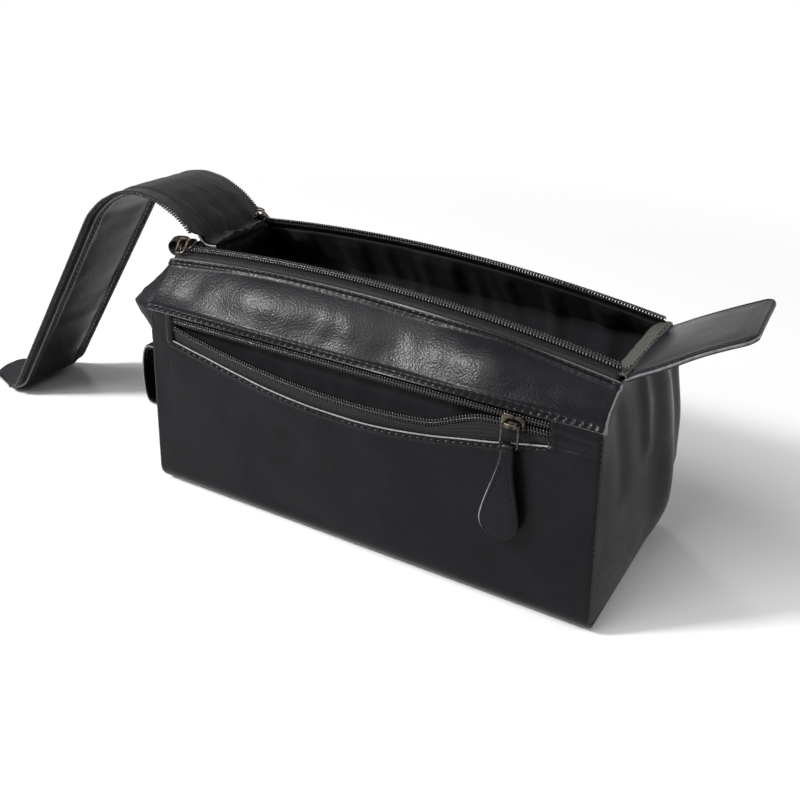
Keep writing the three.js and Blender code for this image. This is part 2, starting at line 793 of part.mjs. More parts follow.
// Lid: a chain of pieces from the left end of the opening, over an arch and down to the table.
// Closed, the same chain lies along the arc of the opening, and its tip lies over the grab tab.
function lidPlan() {
  const angle_at = (x) => Math.acos((x - arc.centre.x) / arc.radius);
  const length = arc.radius * (angle_at(lid_hinge_station) - angle_at(opening_right));
  const arch_count = lid_arch_directions_deg.length;
  const straight = (length - lid_turn_piece - arch_count * lid_arch_piece) / lid_straight_count;
  const piece_at = (piece_length, rest) => ({ length: piece_length, rest });
  const arch = lid_arch_directions_deg.map((direction) => piece_at(lid_arch_piece, direction * degree));
  const turn = piece_at(lid_turn_piece, lid_turn_direction_deg * degree);
  const rise = [turn, ...arch].reduce((sum, piece) => sum + piece.length * Math.sin(piece.rest), 0);
  const bend_direction = lid_bend_direction_deg * degree;
  const floor_line = lid_leather_offset + leather + clearance / 2;
  const drop = openingHeight(lid_hinge_station) + rise - floor_line + lid_bend * Math.sin(bend_direction);
  const descent = lid_straight_count * straight + lid_overlap;
  const down_direction = Math.PI + Math.asin(Math.min(drop / descent, 1));
  const pieces = [
    turn,
    ...arch,
    ...shares(lid_straight_count - 1).map(() => piece_at(straight, down_direction)),
    piece_at(lid_overlap, down_direction),
    piece_at(lid_bend, bend_direction),
    piece_at(lid_tongue, Math.PI),
  ];
  let angle = angle_at(lid_hinge_station);
  const along_arc = 1 + arch_count + lid_straight_count;
  pieces.forEach((piece, i) => {
    const step = 2 * Math.asin(piece.length / (2 * arc.radius));
    piece.on_opening = i < along_arc;
    piece.closed = piece.on_opening ? angle - step / 2 - Math.PI / 2 : tab_rise_deg * degree;
    angle -= step;
  });
  return pieces;
}

// How far a layer is cut back at a joint so that it clears its neighbour on the inside of a bend.
function setBack(bends, height) {
  const sharpest = Math.max(0, ...bends);
  return lid_joint_gap / 2 + height * Math.tan(sharpest / 2);
}

// The lining of a lid piece, with the flanges and coils of both zips from first_coil on
function lidLining(from, to, first_coil) {
  const low = -lid_lining_offset - lining;
  const back = opening_half_width - chain_gap / 2 - coil_reach;
  const flange = back + clearance;
  const sheets = [
    slab(from, to, -lid_neck_half_width, lid_neck_half_width, low, -lid_lining_offset),
    slab(first_coil, to, -flange, flange, low, -lid_lining_offset),
  ];
  for (const side of [-1, 1]) {
    const line = (x) => new THREE.Vector3(x, side * back, 0);
    sheets.push(coil(line, first_coil, to, new THREE.Vector3(0, side, 0), up));
  }
  return joined(sheets);
}

// The lid's tip: it tapers to two round corners.
function tongue(from, to, thickness, middle) {
  const shape = new THREE.Shape();
  const half_width = lid_leather_half_width;
  const tip = lid_tip_half_width;
  const corner = tip / 2;
  shape.moveTo(from, -half_width);
  shape.lineTo(from + corner, -half_width);
  shape.lineTo(to - corner, -tip);
  shape.quadraticCurveTo(to, -tip, to, -tip + corner);
  shape.lineTo(to, tip - corner);
  shape.quadraticCurveTo(to, tip, to - corner, tip);
  shape.lineTo(from + corner, half_width);
  shape.lineTo(from, half_width);
  return extruded(shape, thickness).translate(0, 0, middle);
}

// Each piece's bend from the one before it, at rest and closed
function lidBends(pieces) {
  let before = { rest: pieces[0].closed, closed: pieces[0].closed };
  const bends = pieces.map((piece) => {
    const pair = [piece.rest - before.rest, piece.closed - before.closed];
    before = piece;
    return pair;
  });
  return [...bends, [0, 0]];
}

function lidGroup(place, direction) {
  const group = new THREE.Group();
  group.position.copy(place);
  group.rotation.y = -direction;
  bag.add(group);
  return group;
}

function makeLid() {
  const pieces = lidPlan();
  const bends = lidBends(pieces);
  const top = lid_leather_offset + leather;
  const low = -lid_lining_offset - lining;
  const half_width = lid_leather_half_width;
  const leather_back = (i) => setBack(bends[i], top);
  const lining_back = (i) => setBack(bends[i].map((bend) => -bend), coil_thickness / 2);
  const strip = (from, to) => slab(from, to, -half_width, half_width, lid_leather_offset, top);
  const joint = new THREE.Vector3(lid_hinge_station, 0, openingHeight(lid_hinge_station));
  const root = lidGroup(joint, pieces[0].closed);
  const root_from = end_seam + clearance - lid_root_length;
  add('lid_root', strip(root_from, -leather_back(0)), black_leather, root);
  const root_lining = lidLining(root_from, -lining_back(0), root_from + end_seam);
  add('lid_root_lining', root_lining, black_nylon, root);
  pieces.forEach((piece, i) => {
    const group = lidGroup(joint, piece.rest);
    const number = String(i + 1).padStart(2, '0');
    const from = leather_back(i);
    const to = piece.length - leather_back(i + 1);
    const low_from = lining_back(i);
    const low_to = piece.length - lining_back(i + 1);
    const neck = i === 0;
    const last = i === pieces.length - 1;
    const outer = last ? tongue(from, to, leather, top - leather / 2) : strip(from, to);
    let inner = slab(low_from, low_to, -lid_neck_half_width, lid_neck_half_width, low, -lid_lining_offset);
    if (last) inner = tongue(low_from, low_to, lining, low + lining / 2);
    else if (piece.on_opening && !neck) {
      inner = lidLining(low_from, low_to, i === 1 ? lid_neck_length : low_from);
    }
    const skin = add(`lid_leather_${number}`, outer, black_leather, group);
    add(`lid_lining_${number}`, inner, black_nylon, group);
    skin.userData = { pivot: joint.toArray(), rest: piece.rest, closed: piece.closed };
    joint.addScaledVector(new THREE.Vector3(Math.cos(piece.rest), 0, Math.sin(piece.rest)), piece.length);
  });
}

// Grab tab on the right end
function makeTab() {
  const shape = new THREE.Shape();
  const corner = tab_corner;
  shape.moveTo(0, -tab_base_half_width);
  shape.lineTo(tab_length - corner, -tab_tip_half_width);
  shape.quadraticCurveTo(tab_length, -tab_tip_half_width, tab_length, -tab_tip_half_width + corner);
  shape.lineTo(tab_length, tab_tip_half_width - corner);
  shape.quadraticCurveTo(tab_length, tab_tip_half_width, tab_length - corner, tab_tip_half_width);
  shape.lineTo(0, tab_base_half_width);
  const tab = add('grab_tab', extruded(shape, tab_thickness), black_leather);
  const lean = (tab_thickness / 2) * Math.sin(tab_rise_deg * degree);
  const x = opening_right - end_seam + clearance + lean;
  tab.position.set(x, 0, openingHeight(opening_right) - tab_root_drop);
  tab.rotation.y = -tab_rise_deg * degree;
}

// Carry loop: a short strap bowed out from the left end, near the front.
function makeLoop() {
  const wall_point = endPoint(-1);
  const front = -half_depth + loop_inset;
  const across_share = (front + loop_width / 2) / half_depth;
  const centre = (loop_top + loop_bottom) / 2;
  const half_height = (loop_top - loop_bottom) / 2;
  const point = (turn, across) => {
    const angle = (Math.PI / 2) * turn;
    const z = centre + half_height * Math.sin(angle);
    const bow = loop_reach * Math.max(Math.cos(angle), 0) ** loop_bow_share;
    const wall = wall_point(across_share, z / end_rows_top).x;
    const x = wall - clearance - loop_thickness / 2 - bow;
    return new THREE.Vector3(x, front + loop_width * across, z);
  };
  const half = loop_thickness / 2;
  add('carry_loop', sheet(point, loop_turn_shares, [0, 1], -half, half), black_leather);
}

makeWalls();
makeInside();
makeOpeningZips();
makePocket();
makeMainSliders();
makePocketSlider();
makeLid();
makeTab();
makeLoop();

export default bag;
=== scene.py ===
# Looks of a soft black toiletry bag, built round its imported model.
# Lengths in the bag's own surfaces are in millimetres, and a piece's mesh is in metres.

import json
import math

import bmesh
import bpy
from mathutils import Matrix, Vector, noise


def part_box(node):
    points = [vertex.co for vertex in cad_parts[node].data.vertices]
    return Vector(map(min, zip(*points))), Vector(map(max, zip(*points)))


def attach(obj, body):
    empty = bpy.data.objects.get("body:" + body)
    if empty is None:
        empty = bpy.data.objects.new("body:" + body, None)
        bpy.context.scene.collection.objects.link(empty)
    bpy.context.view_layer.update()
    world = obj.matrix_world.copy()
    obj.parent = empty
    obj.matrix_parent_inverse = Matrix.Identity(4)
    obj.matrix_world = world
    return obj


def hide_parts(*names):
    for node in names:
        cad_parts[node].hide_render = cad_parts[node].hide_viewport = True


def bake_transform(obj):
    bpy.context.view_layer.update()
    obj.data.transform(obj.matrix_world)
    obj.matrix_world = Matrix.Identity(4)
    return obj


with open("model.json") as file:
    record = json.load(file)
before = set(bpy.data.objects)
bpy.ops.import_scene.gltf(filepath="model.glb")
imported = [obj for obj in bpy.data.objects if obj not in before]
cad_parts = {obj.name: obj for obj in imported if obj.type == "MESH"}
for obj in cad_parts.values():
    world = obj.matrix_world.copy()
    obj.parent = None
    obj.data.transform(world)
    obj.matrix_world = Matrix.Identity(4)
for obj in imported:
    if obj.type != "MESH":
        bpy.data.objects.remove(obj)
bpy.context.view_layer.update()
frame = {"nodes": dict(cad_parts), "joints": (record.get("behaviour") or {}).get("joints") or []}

bl_info = {
    "name": "Toiletry Bag",
    "version": (1, 0, 0),
    "blender": (4, 5, 0),
    "location": "View3D > Sidebar > Bag",
    "description": "Leather, linings, zips and fittings of a soft toiletry bag",
    "category": "Object",
}

MM = 0.001
ALONG_Y = Vector((0, 1, 0))

# Body of the bag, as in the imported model
HALF_LENGTH = 125.0
HALF_DEPTH = 55.0
SHOULDER = 104.5
LEFT_LEAN = 3.3
RIGHT_LEAN = 5.8
BASE_CORNER = 10.0
FRONT_BULGE = 2.0
REAR_BULGE = 3.0
BAND_CROWN = 2.2
END_BULGE = 3.0
END_SEAM = 0.8
LEATHER = 1.4
LINING = 0.6
TAPE = 0.8
CLEARANCE = 0.3
TOP_GAP = 1.3
EDGE_HALF_WIDTH = 36.4
EDGE_DROP = 4.2
OPENING_HALF_WIDTH = 29.0
OPENING_LEFT = -(HALF_LENGTH - LEFT_LEAN)
OPENING_RIGHT = HALF_LENGTH - RIGHT_LEAN
OPENING_RISES = (24.5, 29.5, 18.0)
COIL_REACH = 2.6
COIL_WIDTH = 4.2
COIL_HALF = 1.25
COIL_OVERLAP = 0.7
CHAIN_GAP = 1.7
COIL_BACK = OPENING_HALF_WIDTH + CHAIN_GAP / 2 + COIL_REACH

SIDES = ((-1, "front"), (1, "back"))
ENDS = ((-1, "left"), (1, "right"))

# Front pocket
MOUTH_LEFT = -109.5
MOUTH_RIGHT = 101.5
POCKET_ZIP = SHOULDER - 7.0
LIP_DROPS = (15.5, 13.5)
LIP_SAG = 14.0
CHAIN_SAG = 12.5
POCKET_FLOOR = 26.0
POCKET_ROOM = 6.0
CHAIN_PLANE = -HALF_DEPTH + 1.0
SLIDER_STATION = 81.0

# Seams: a rolled corner, a folded hem and its row of stitches
CORNER_ROLL = 1.8
HEM_STITCH = 1.9
HEM_WIDTH = 2.9
HEM_ROWS = [0, 0.25, 0.5, 0.8, 1.1, 1.35, 1.6, 1.9, 2.2, 2.45, 2.7, 3.1, 3.6, 4.3]
CORNER_PITCH = 2.7

# Thickness of the pieces made of cloth and of tape
CLOTH_WALL = 0.35
TAPE_WALL = 0.55


def lerp(a, b, share):
    return a + (b - a) * share


def clamp(value, low=0.0, high=1.0):
    return max(low, min(high, value))


def ease(share):
    """Eases a share from 0 to 1, with no slope at either end."""
    share = clamp(share)
    return share * share * (3 - 2 * share)


def spaced(low, high, step):
    """Even values from low to high, about a step apart."""
    count = max(1, round(abs(high - low) / step))
    return [lerp(low, high, i / count) for i in range(count + 1)]


def hump(share):
    """Half a sine wave: 0 at the shares 0 and 1, and 1 between them."""
    return math.sin(math.pi * clamp(share))


def bell(offset, width):
    """A bump of height 1 that is a third as high at its width."""
    return math.exp(-((offset / width) ** 2))


def soft_noise(x, y, z, size, seed=0.0):
    """Smooth noise, about -1 to 1, with bumps of a size in mm."""
    return noise.noise(Vector((x / size + seed, y / size - seed, z / size + 0.5 * seed)))


def circle_through(a, b, c):
    """Centre and radius of the circle through three points."""
    d = 2 * (a[0] * (b[1] - c[1]) + b[0] * (c[1] - a[1]) + c[0] * (a[1] - b[1]))
    sa, sb, sc = (p[0] ** 2 + p[1] ** 2 for p in (a, b, c))
    x = (sa * (b[1] - c[1]) + sb * (c[1] - a[1]) + sc * (a[1] - b[1])) / d
    y = (sa * (c[0] - b[0]) + sb * (a[0] - c[0]) + sc * (b[0] - a[0])) / d
    return x, y, math.hypot(a[0] - x, a[1] - y)


# The opening's edge is an arc: left end, middle and right end above the shoulder
ARC_X, ARC_Z, ARC_RADIUS = circle_through(
    *((x, SHOULDER + rise) for x, rise in zip((OPENING_LEFT, 0.0, OPENING_RIGHT), OPENING_RISES))
)


def opening_height(x):
    """Height of the opening's edge, where its chains run."""
    return ARC_Z + math.sqrt(ARC_RADIUS**2 - (x - ARC_X) ** 2)


def end_station(side, z):
    """Where an end stands at a height: both ends lean in towards the top."""
    lean = LEFT_LEAN if side < 0 else RIGHT_LEAN
    return side * (HALF_LENGTH - lean * min(z / SHOULDER, 1))


def drawn_in(station, z):
    """The place along the bag of a station on a wall that gets shorter upwards."""
    side = -1 if station < 0 else 1
    return station * abs(end_station(side, z)) / HALF_LENGTH


def half_depth_at(z, x):
    """Half the bag's depth outside: round base corner, upright wall, slanted band."""
    if z < BASE_CORNER:
        rise = BASE_CORNER - z
        return HALF_DEPTH - BASE_CORNER + math.sqrt(max(BASE_CORNER**2 - rise**2, 0))
    if z < SHOULDER:
        return HALF_DEPTH
    top = opening_height(x) - EDGE_DROP
    return lerp(HALF_DEPTH, EDGE_HALF_WIDTH, (z - SHOULDER) / (top - SHOULDER))


def inside_half_depth(z, x, inset):
    """The same for a layer that lies further in by an inset."""
    if z >= SHOULDER:
        rise = opening_height(x) - EDGE_DROP - SHOULDER
        return half_depth_at(z, x) - inset * math.hypot(1, (HALF_DEPTH - EDGE_HALF_WIDTH) / rise)
    if z >= BASE_CORNER:
        return HALF_DEPTH - inset
    radius = BASE_CORNER - inset
    return HALF_DEPTH - BASE_CORNER + math.sqrt(max(radius**2 - (BASE_CORNER - z) ** 2, 0))


def mouth_share(station):
    """Share of the pocket's mouth from its left end to its right end."""
    return clamp((station - MOUTH_LEFT) / (MOUTH_RIGHT - MOUTH_LEFT))


def in_mouth(station):
    """True between the two ends of the pocket's mouth."""
    return MOUTH_LEFT < station < MOUTH_RIGHT


def lip_height(station):
    """Height of the pocket's lip: the cut top of the front leather."""
    share = mouth_share(station)
    return SHOULDER - lerp(*LIP_DROPS, share) - LIP_SAG * math.sin(math.pi * share)


def lower_chain_height(station):
    """Height of the lower chain's heads: it sags open as far as the slider and is closed beyond."""
    sag = CHAIN_SAG * math.sin(math.pi * mouth_share(station)) ** 0.8
    return POCKET_ZIP - CHAIN_GAP / 2 - sag * (1 - ease((station - 40.0) / 36.0))


def mouth_bulge(station):
    """How far the front stands out in the middle of the mouth."""
    return FRONT_BULGE * math.sin(math.pi * mouth_share(station)) ** 2


def front_face(station, z):
    """Depth of the front wall."""
    share = (z - BASE_CORNER) / (lip_height(station) - BASE_CORNER)
    return -HALF_DEPTH - mouth_bulge(station) * math.sin(math.pi / 2 * clamp(share))


# Making meshes


class Surface:
    """A laid-out surface: base(u, v) in mm, raised along its outward side by relief(u, v, point)."""

    def __init__(self, base, side=1, relief=None, step=0.05):
        self.base = base
        self.side = side
        self.relief = relief
        self.step = step

    def axes(self, u, v):
        along = self.base(u + self.step, v) - self.base(u - self.step, v)
        across = self.base(u, v + self.step) - self.base(u, v - self.step)
        out = along.cross(across).normalized() * self.side
        return along.normalized(), out

    def at(self, u, v, lift=0.0):
        point = self.base(u, v)
        height = lift + (self.relief(u, v, point) if self.relief else 0.0)
        if height:
            point = point + self.axes(u, v)[1] * height
        return point


def corner_cut(distance, radius):
    """How far a round corner draws an edge in, at a distance from the corner's end."""
    return radius - math.sqrt(max(radius**2 - max(radius - distance, 0.0) ** 2, 0.0))


def upright(along):
    """The direction at right angles to a line that runs in the XZ plane."""
    return Vector((-along.z, 0, along.x))


def run_lengths(points):
    """The length along a line of points up to each of them."""
    lengths = [0.0]
    for a, b in zip(points, points[1:]):
        lengths.append(lengths[-1] + (b - a).length)
    return lengths


def laid_grid(surface, us, vs, hole=None, rubbed=None):
    """A grid of faces laid on the surface, with its UV map in metres of real cloth or leather.
    Faces whose middle lies in hole(u, v) are cut out, and the faces that the last test picks take
    the piece's second material, which on the leather is the painted highlight of its folded edges."""
    bm = bmesh.new()
    columns, rows = len(us), len(vs)
    bmesh.ops.create_grid(bm, x_segments=columns - 1, y_segments=rows - 1, size=1.0)
    uv_layer = bm.loops.layers.uv.new("UVMap")
    u_run = run_lengths([surface.base(u, vs[rows // 2]) for u in us])
    v_run = run_lengths([surface.base(us[columns // 2], v) for v in vs])
    cell = {}
    for vert in bm.verts:
        i = round((vert.co.x + 1) / 2 * (columns - 1))
        j = round((vert.co.y + 1) / 2 * (rows - 1))
        cell[vert] = (i, j)
    cut = []
    for face in bm.faces:
        for loop in face.loops:
            i, j = cell[loop.vert]
            loop[uv_layer].uv = (u_run[i] * MM, v_run[j] * MM)
        u = sum(us[cell[vert][0]] for vert in face.verts) / 4
        v = sum(vs[cell[vert][1]] for vert in face.verts) / 4
        if hole and hole(u, v):
            cut.append(face)
        elif rubbed and rubbed(u, v):
            face.material_index = 1
    for vert, (i, j) in cell.items():
        vert.co = surface.at(us[i], vs[j]) * MM
    bmesh.ops.delete(bm, geom=cut, context="FACES")
    if surface.side < 0:
        bmesh.ops.reverse_faces(bm, faces=bm.faces[:])
    return bm


def linked(name, data):
    """A new object in the scene that holds this data."""
    holder = bpy.data.objects.new(name, data)
    bpy.context.scene.collection.objects.link(holder)
    return holder


def settle(piece):
    """Puts the result of the piece's modifiers into its mesh."""
    depsgraph = bpy.context.evaluated_depsgraph_get()
    mesh = bpy.data.meshes.new_from_object(piece.evaluated_get(depsgraph))
    old = piece.data
    piece.modifiers.clear()
    piece.data = mesh
    bpy.data.meshes.remove(old)
    mesh.name = piece.name


def make_piece(name, bm, look, wall=0.0, edge=0.0, edge_steps=2, offset=-1.0, rim=None):
    """An object from a bmesh, with its finish, wall thickness and rounded edges, all in mm."""
    mesh = bpy.data.meshes.new(name)
    bm.to_mesh(mesh)
    bm.free()
    for key in (look, rim) if rim else (look,):
        mesh.materials.append(look_of(key))
    mesh.shade_smooth()
    piece = linked(name, mesh)
    if wall:
        solidify = piece.modifiers.new("wall", "SOLIDIFY")
        solidify.thickness = wall * MM
        solidify.offset = offset
        solidify.use_even_offset = True
        solidify.thickness_clamp = 1.0
        solidify.material_offset_rim = 1 if rim else 0
    if edge:
        bevel = piece.modifiers.new("edge", "BEVEL")
        bevel.width = edge * MM
        bevel.segments = edge_steps
        bevel.limit_method = "ANGLE"
        bevel.angle_limit = math.radians(50)
    if piece.modifiers:
        settle(piece)
    return piece


def put(piece, body, slot, *nodes):
    """Attaches the piece to the body that it moves with and hides the nodes that it stands for. The slot,
    the piece's finish, is not used. For a tuple of two bodies and the places where the first ends and the
    second starts, the piece's transform is only applied to its mesh; the bodies and places are not used."""
    if isinstance(body, tuple):
        from_body, to_body, start, end = body
        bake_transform(piece)
        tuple(start)
        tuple(end)
    else:
        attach(piece, body)
    if nodes:
        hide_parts(*nodes)
    return piece


def lay(name, surface, us, vs, look, wall, slot, *nodes, offset=-1.0):
    """A sheet laid on a surface of the bag's body."""
    piece = make_piece(name, laid_grid(surface, us, vs), look, wall=wall, offset=offset)
    return put(piece, "bag", slot, *nodes)


def swept_ring(frames, ring, rims=()):
    """A closed outline carried along frames: each frame is (origin, across, up, run) in mm,
    and ring(k) gives the outline's (across, up) points there. The outline's legs that rims
    names by number take the piece's second material."""
    bm = bmesh.new()
    outlines = [ring(k) for k in range(len(frames))]
    size = len(outlines[0])
    bmesh.ops.create_grid(bm, x_segments=len(frames) - 1, y_segments=size, size=1.0)
    uv_layer = bm.loops.layers.uv.new("UVMap")
    around = [0.0]
    for a, b in zip(outlines[0], outlines[0][1:] + outlines[0][:1]):
        around.append(around[-1] + math.hypot(b[0] - a[0], b[1] - a[1]))
    cell = {}
    for vert in bm.verts:
        i = round((vert.co.x + 1) / 2 * (len(frames) - 1))
        j = round((vert.co.y + 1) / 2 * size)
        cell[vert] = (i, j)
    for face in bm.faces:
        for loop in face.loops:
            i, j = cell[loop.vert]
            loop[uv_layer].uv = (frames[i][3] * MM, around[j] * MM)
        if min(cell[vert][1] for vert in face.verts) in rims:
            face.material_index = 1
    for vert, (i, j) in cell.items():
        origin, across, up, _ = frames[i]
        a, h = outlines[i][j % size]
        vert.co = (origin + across * a + up * h) * MM
    bmesh.ops.remove_doubles(bm, verts=bm.verts[:], dist=1e-7)
    open_edges = [edge for edge in bm.edges if edge.is_boundary]
    bmesh.ops.holes_fill(bm, edges=open_edges, sides=0)
    for edge in open_edges:
        edge.smooth = False
    bmesh.ops.recalc_face_normals(bm, faces=bm.faces[:])
    return bm


def stitch_shape(length, thick):
    """One stitch: a flattened capsule of thread along X, of a few dozen faces."""
    bm = bmesh.new()
    bmesh.ops.create_uvsphere(bm, u_segments=6, v_segments=5, radius=0.5)
    bmesh.ops.rotate(bm, verts=bm.verts[:], cent=(0, 0, 0), matrix=Matrix.Rotation(math.pi / 2, 3, "Y"))
    for vert in bm.verts:
        vert.co.x = math.copysign(abs(2 * vert.co.x) ** 0.6, vert.co.x) * length / 2 * MM
        vert.co.y *= thick * MM
        vert.co.z *= 0.8 * thick * MM
    mesh = bpy.data.meshes.new("stitch_shape")
    bm.to_mesh(mesh)
    bm.free()
    return mesh


def sew(name, places, body, slot, length=2.6, thick=0.8, dip=0.12):
    """A row of stitches: places holds (point, along, out) of each stitch, in mm."""
    shape = stitch_shape(length, thick)
    bm = bmesh.new()
    for point, along, out in places:
        start = len(bm.verts)
        bm.from_mesh(shape)
        bm.verts.ensure_lookup_table()
        side = out.cross(along).normalized()
        along = side.cross(out).normalized()
        turn = Matrix((along, side, out)).transposed().to_4x4()
        place = Matrix.Translation((point - out * dip) * MM) @ turn
        bmesh.ops.transform(bm, matrix=place, verts=bm.verts[start:])
    bpy.data.meshes.remove(shape)
    put(make_piece(name, bm, "thread"), body, slot)


def seam_places(surface, line, low, high, pitch):
    """Stitch places at whole pitches of t along line(t) -> (u, v) on a surface."""
    places = []
    for n in range(math.ceil(low / pitch), math.floor(high / pitch) + 1):
        u, v = line(n * pitch)
        ahead = surface.at(*line(n * pitch + 0.4)) - surface.at(*line(n * pitch - 0.4))
        places.append((surface.at(u, v), ahead.normalized(), surface.axes(u, v)[1]))
    return places


def paces(run, step):
    """Even steps along a line of points with these run lengths: the leg and the share of it."""
    leg = 0
    for n in range(int(run[-1] / step)):
        wanted = 1.0 + step * n
        while leg + 1 < len(run) - 1 and run[leg + 1] < wanted:
            leg += 1
        yield leg, (wanted - run[leg]) / (run[leg + 1] - run[leg])


def tube(name, points, radius, cyclic=False, sides=2):
    """A round wire or thread along points in mm, made as a curve and handed back as a bmesh."""
    curve = bpy.data.curves.new(name, "CURVE")
    curve.dimensions = "3D"
    curve.bevel_depth = radius * MM
    curve.bevel_resolution = sides
    curve.use_fill_caps = True
    spline = curve.splines.new("POLY")
    spline.points.add(len(points) - 1)
    for place, point in zip(spline.points, points):
        place.co = (*(point * MM), 1)
    spline.use_cyclic_u = cyclic
    holder = linked(name, curve)
    depsgraph = bpy.context.evaluated_depsgraph_get()
    mesh = bpy.data.meshes.new_from_object(holder.evaluated_get(depsgraph))
    bpy.data.objects.remove(holder)
    bpy.data.curves.remove(curve)
    bm = bmesh.new()
    bm.from_mesh(mesh)
    bpy.data.meshes.remove(mesh)
    bmesh.ops.remove_doubles(bm, verts=bm.verts[:], dist=1e-7)
    bmesh.ops.recalc_face_normals(bm, faces=bm.faces[:])
    return bm


def coil_bmesh(place, length, pitch, steps=8, sides=5, wire=0.6):
    """Half of a coil chain: one thread wound in flattened turns.
    place(s) gives (back point, reach, rise) at a length s in mm."""
    turns = max(2, round(length / pitch))
    turn_radius = 1.1
    bm = bmesh.new()
    bmesh.ops.create_circle(
        bm, segments=sides, radius=wire, matrix=Matrix.Translation((0, -turn_radius, 0))
    )
    bmesh.ops.spin(
        bm,
        geom=bm.verts[:] + bm.edges[:],
        angle=2 * math.pi * turns,
        steps=steps * turns,
        axis=(1, 0, 0),
        cent=(0, 0, 0),
        dvec=(length / (steps * turns), 0, 0),
        use_duplicate=False,
    )
    outer = turn_radius + wire
    for vert in bm.verts:
        x, y, z = vert.co
        back, reach, rise = place(clamp(x, 0.0, length))
        high = COIL_HALF * z / outer * (1 - 0.45 * bell(y, 0.5))
        vert.co = (back + reach * (COIL_WIDTH * (y / outer + 1) / 2 - COIL_OVERLAP) + rise * high) * MM
    bmesh.ops.holes_fill(bm, edges=[e for e in bm.edges if e.is_boundary], sides=0)
    bmesh.ops.recalc_face_normals(bm, faces=bm.faces[:])
    return bm


def join_bmesh(first, *others):
    """Adds other bmeshes' geometry to the first one."""
    for other in others:
        mesh = bpy.data.meshes.new("part")
        other.to_mesh(mesh)
        other.free()
        first.from_mesh(mesh)
        bpy.data.meshes.remove(mesh)
    return first


def make_coil(name, place, length):
    """A coil with the sewing thread that holds it down along the middle of its turns."""
    bm = coil_bmesh(place, length, coil_pitch())
    thread = []
    inward, above = 1.35, 0.7
    for s in spaced(0.0, length, 2.0):
        back, reach, rise = place(s)
        thread.append(back + reach * inward + rise * above)
    return make_piece(name, join_bmesh(bm, tube(name, thread, 0.3, sides=0)), "coil")


# Finishes


def linear(hex_colour):
    """An sRGB colour written as six hex digits, turned to linear values."""
    values = [int(hex_colour[i : i + 2], 16) / 255 for i in (0, 2, 4)]
    return tuple(v / 12.92 if v <= 0.04045 else ((v + 0.055) / 1.055) ** 2.4 for v in values)


def add_node(tree, kind, inputs=None, **options):
    """Adds a shader node with its options. An input is a value or another node's output."""
    node = tree.nodes.new("ShaderNode" + kind)
    for key, value in options.items():
        setattr(node, key, value)
    for key, value in (inputs or {}).items():
        if isinstance(value, bpy.types.NodeSocket):
            tree.links.new(value, node.inputs[key])
        else:
            node.inputs[key].default_value = value
    return node


def start_material(name, coordinates="Object"):
    """A material, its empty node tree and its texture coordinate."""
    material = bpy.data.materials.new(name)
    material.use_nodes = True
    tree = material.node_tree
    tree.nodes.clear()
    return material, tree, add_node(tree, "TexCoord").outputs[coordinates]


def finish_material(material, inputs):
    """Adds the one shader of a material and its output."""
    tree = material.node_tree
    shader = add_node(tree, "BsdfPrincipled", inputs)
    add_node(tree, "OutputMaterial", {"Surface": shader.outputs[0]})
    return material


def shade(hex_colour, factor=1.0):
    """The four values of a colour, made darker or lighter by a factor."""
    return (*(factor * value for value in linear(hex_colour)), 1)


# A noise texture runs mostly from 0.3 to 0.7
NOISE_SPREAD = {"From Min": 0.3, "From Max": 0.7}
# At a scale of 1 a wave texture's bands are a twentieth of a turn apart
WAVE_TURN = 0.05 * 2 * math.pi


def settings():
    """The bag's settings, as the panel shows them."""
    return bpy.context.scene.toiletry_bag


def stitch_pitch():
    """Stitch pitch in mm."""
    return settings().stitch_pitch / MM


def coil_pitch():
    """Coil pitch in mm."""
    return settings().coil_pitch / MM


def leather_material():
    # Split leather with a pressed and coated face: a semi-gloss skin over shallow round grains
    # about 0.9 mm across, with faint creases where it has been folded.
    material, tree, place = start_material("coated_split_leather_embossed")
    colour = settings().leather_hex
    cells = {"Vector": place, "Scale": 1 / settings().grain_size, "Randomness": 1.0}
    grain = add_node(tree, "TexVoronoi", cells, feature="SMOOTH_F1").outputs["Distance"]
    fine = add_node(tree, "TexNoise", {"Vector": place, "Scale": 2600.0, "Detail": 3.0}).outputs[0]
    clouds = {"Vector": place, "Scale": 45.0, "Detail": 4.0, "Roughness": 0.6}
    broad = add_node(tree, "TexNoise", clouds).outputs[0]
    cells = {"Vector": place, "Scale": 130.0, "Randomness": 1.0}
    edges = add_node(tree, "TexVoronoi", cells, feature="DISTANCE_TO_EDGE").outputs["Distance"]
    thin = {"Value": edges, "From Min": 0.0, "From Max": 0.05, "To Min": 0.0, "To Max": 1.0}
    crease = add_node(tree, "MapRange", thin).outputs[0]
    relief = add_node(tree, "Bump", {"Height": broad, "Strength": 0.12, "Distance": 0.0012})
    folds = {"Height": crease, "Strength": 0.05, "Distance": 0.0002, "Normal": relief.outputs[0]}
    relief = add_node(tree, "Bump", folds)
    pebbles = {"Height": grain, "Strength": 0.45, "Distance": 0.00024, "Normal": relief.outputs[0]}
    relief = add_node(tree, "Bump", pebbles, invert=True)
    worn = add_node(tree, "MapRange", {"Value": broad, **NOISE_SPREAD, "To Min": 0.0, "To Max": 1.0})
    mix = {0: worn.outputs[0], 6: shade(colour, 1.0), 7: shade(colour, 1.7)}
    skin = add_node(tree, "Mix", mix, data_type="RGBA").outputs[2]
    gloss = add_node(tree, "MapRange", {"Value": broad, **NOISE_SPREAD, "To Min": 0.25, "To Max": 0.34})
    pores = {"Height": fine, "Strength": 0.18, "Distance": 0.00006, "Normal": relief.outputs[0]}
    relief = add_node(tree, "Bump", pores)
    return finish_material(
        material,
        {
            "Base Color": skin,
            "Roughness": gloss.outputs[0],
            "Specular IOR Level": 0.11,
            "Normal": relief.outputs[0],
        },
    )


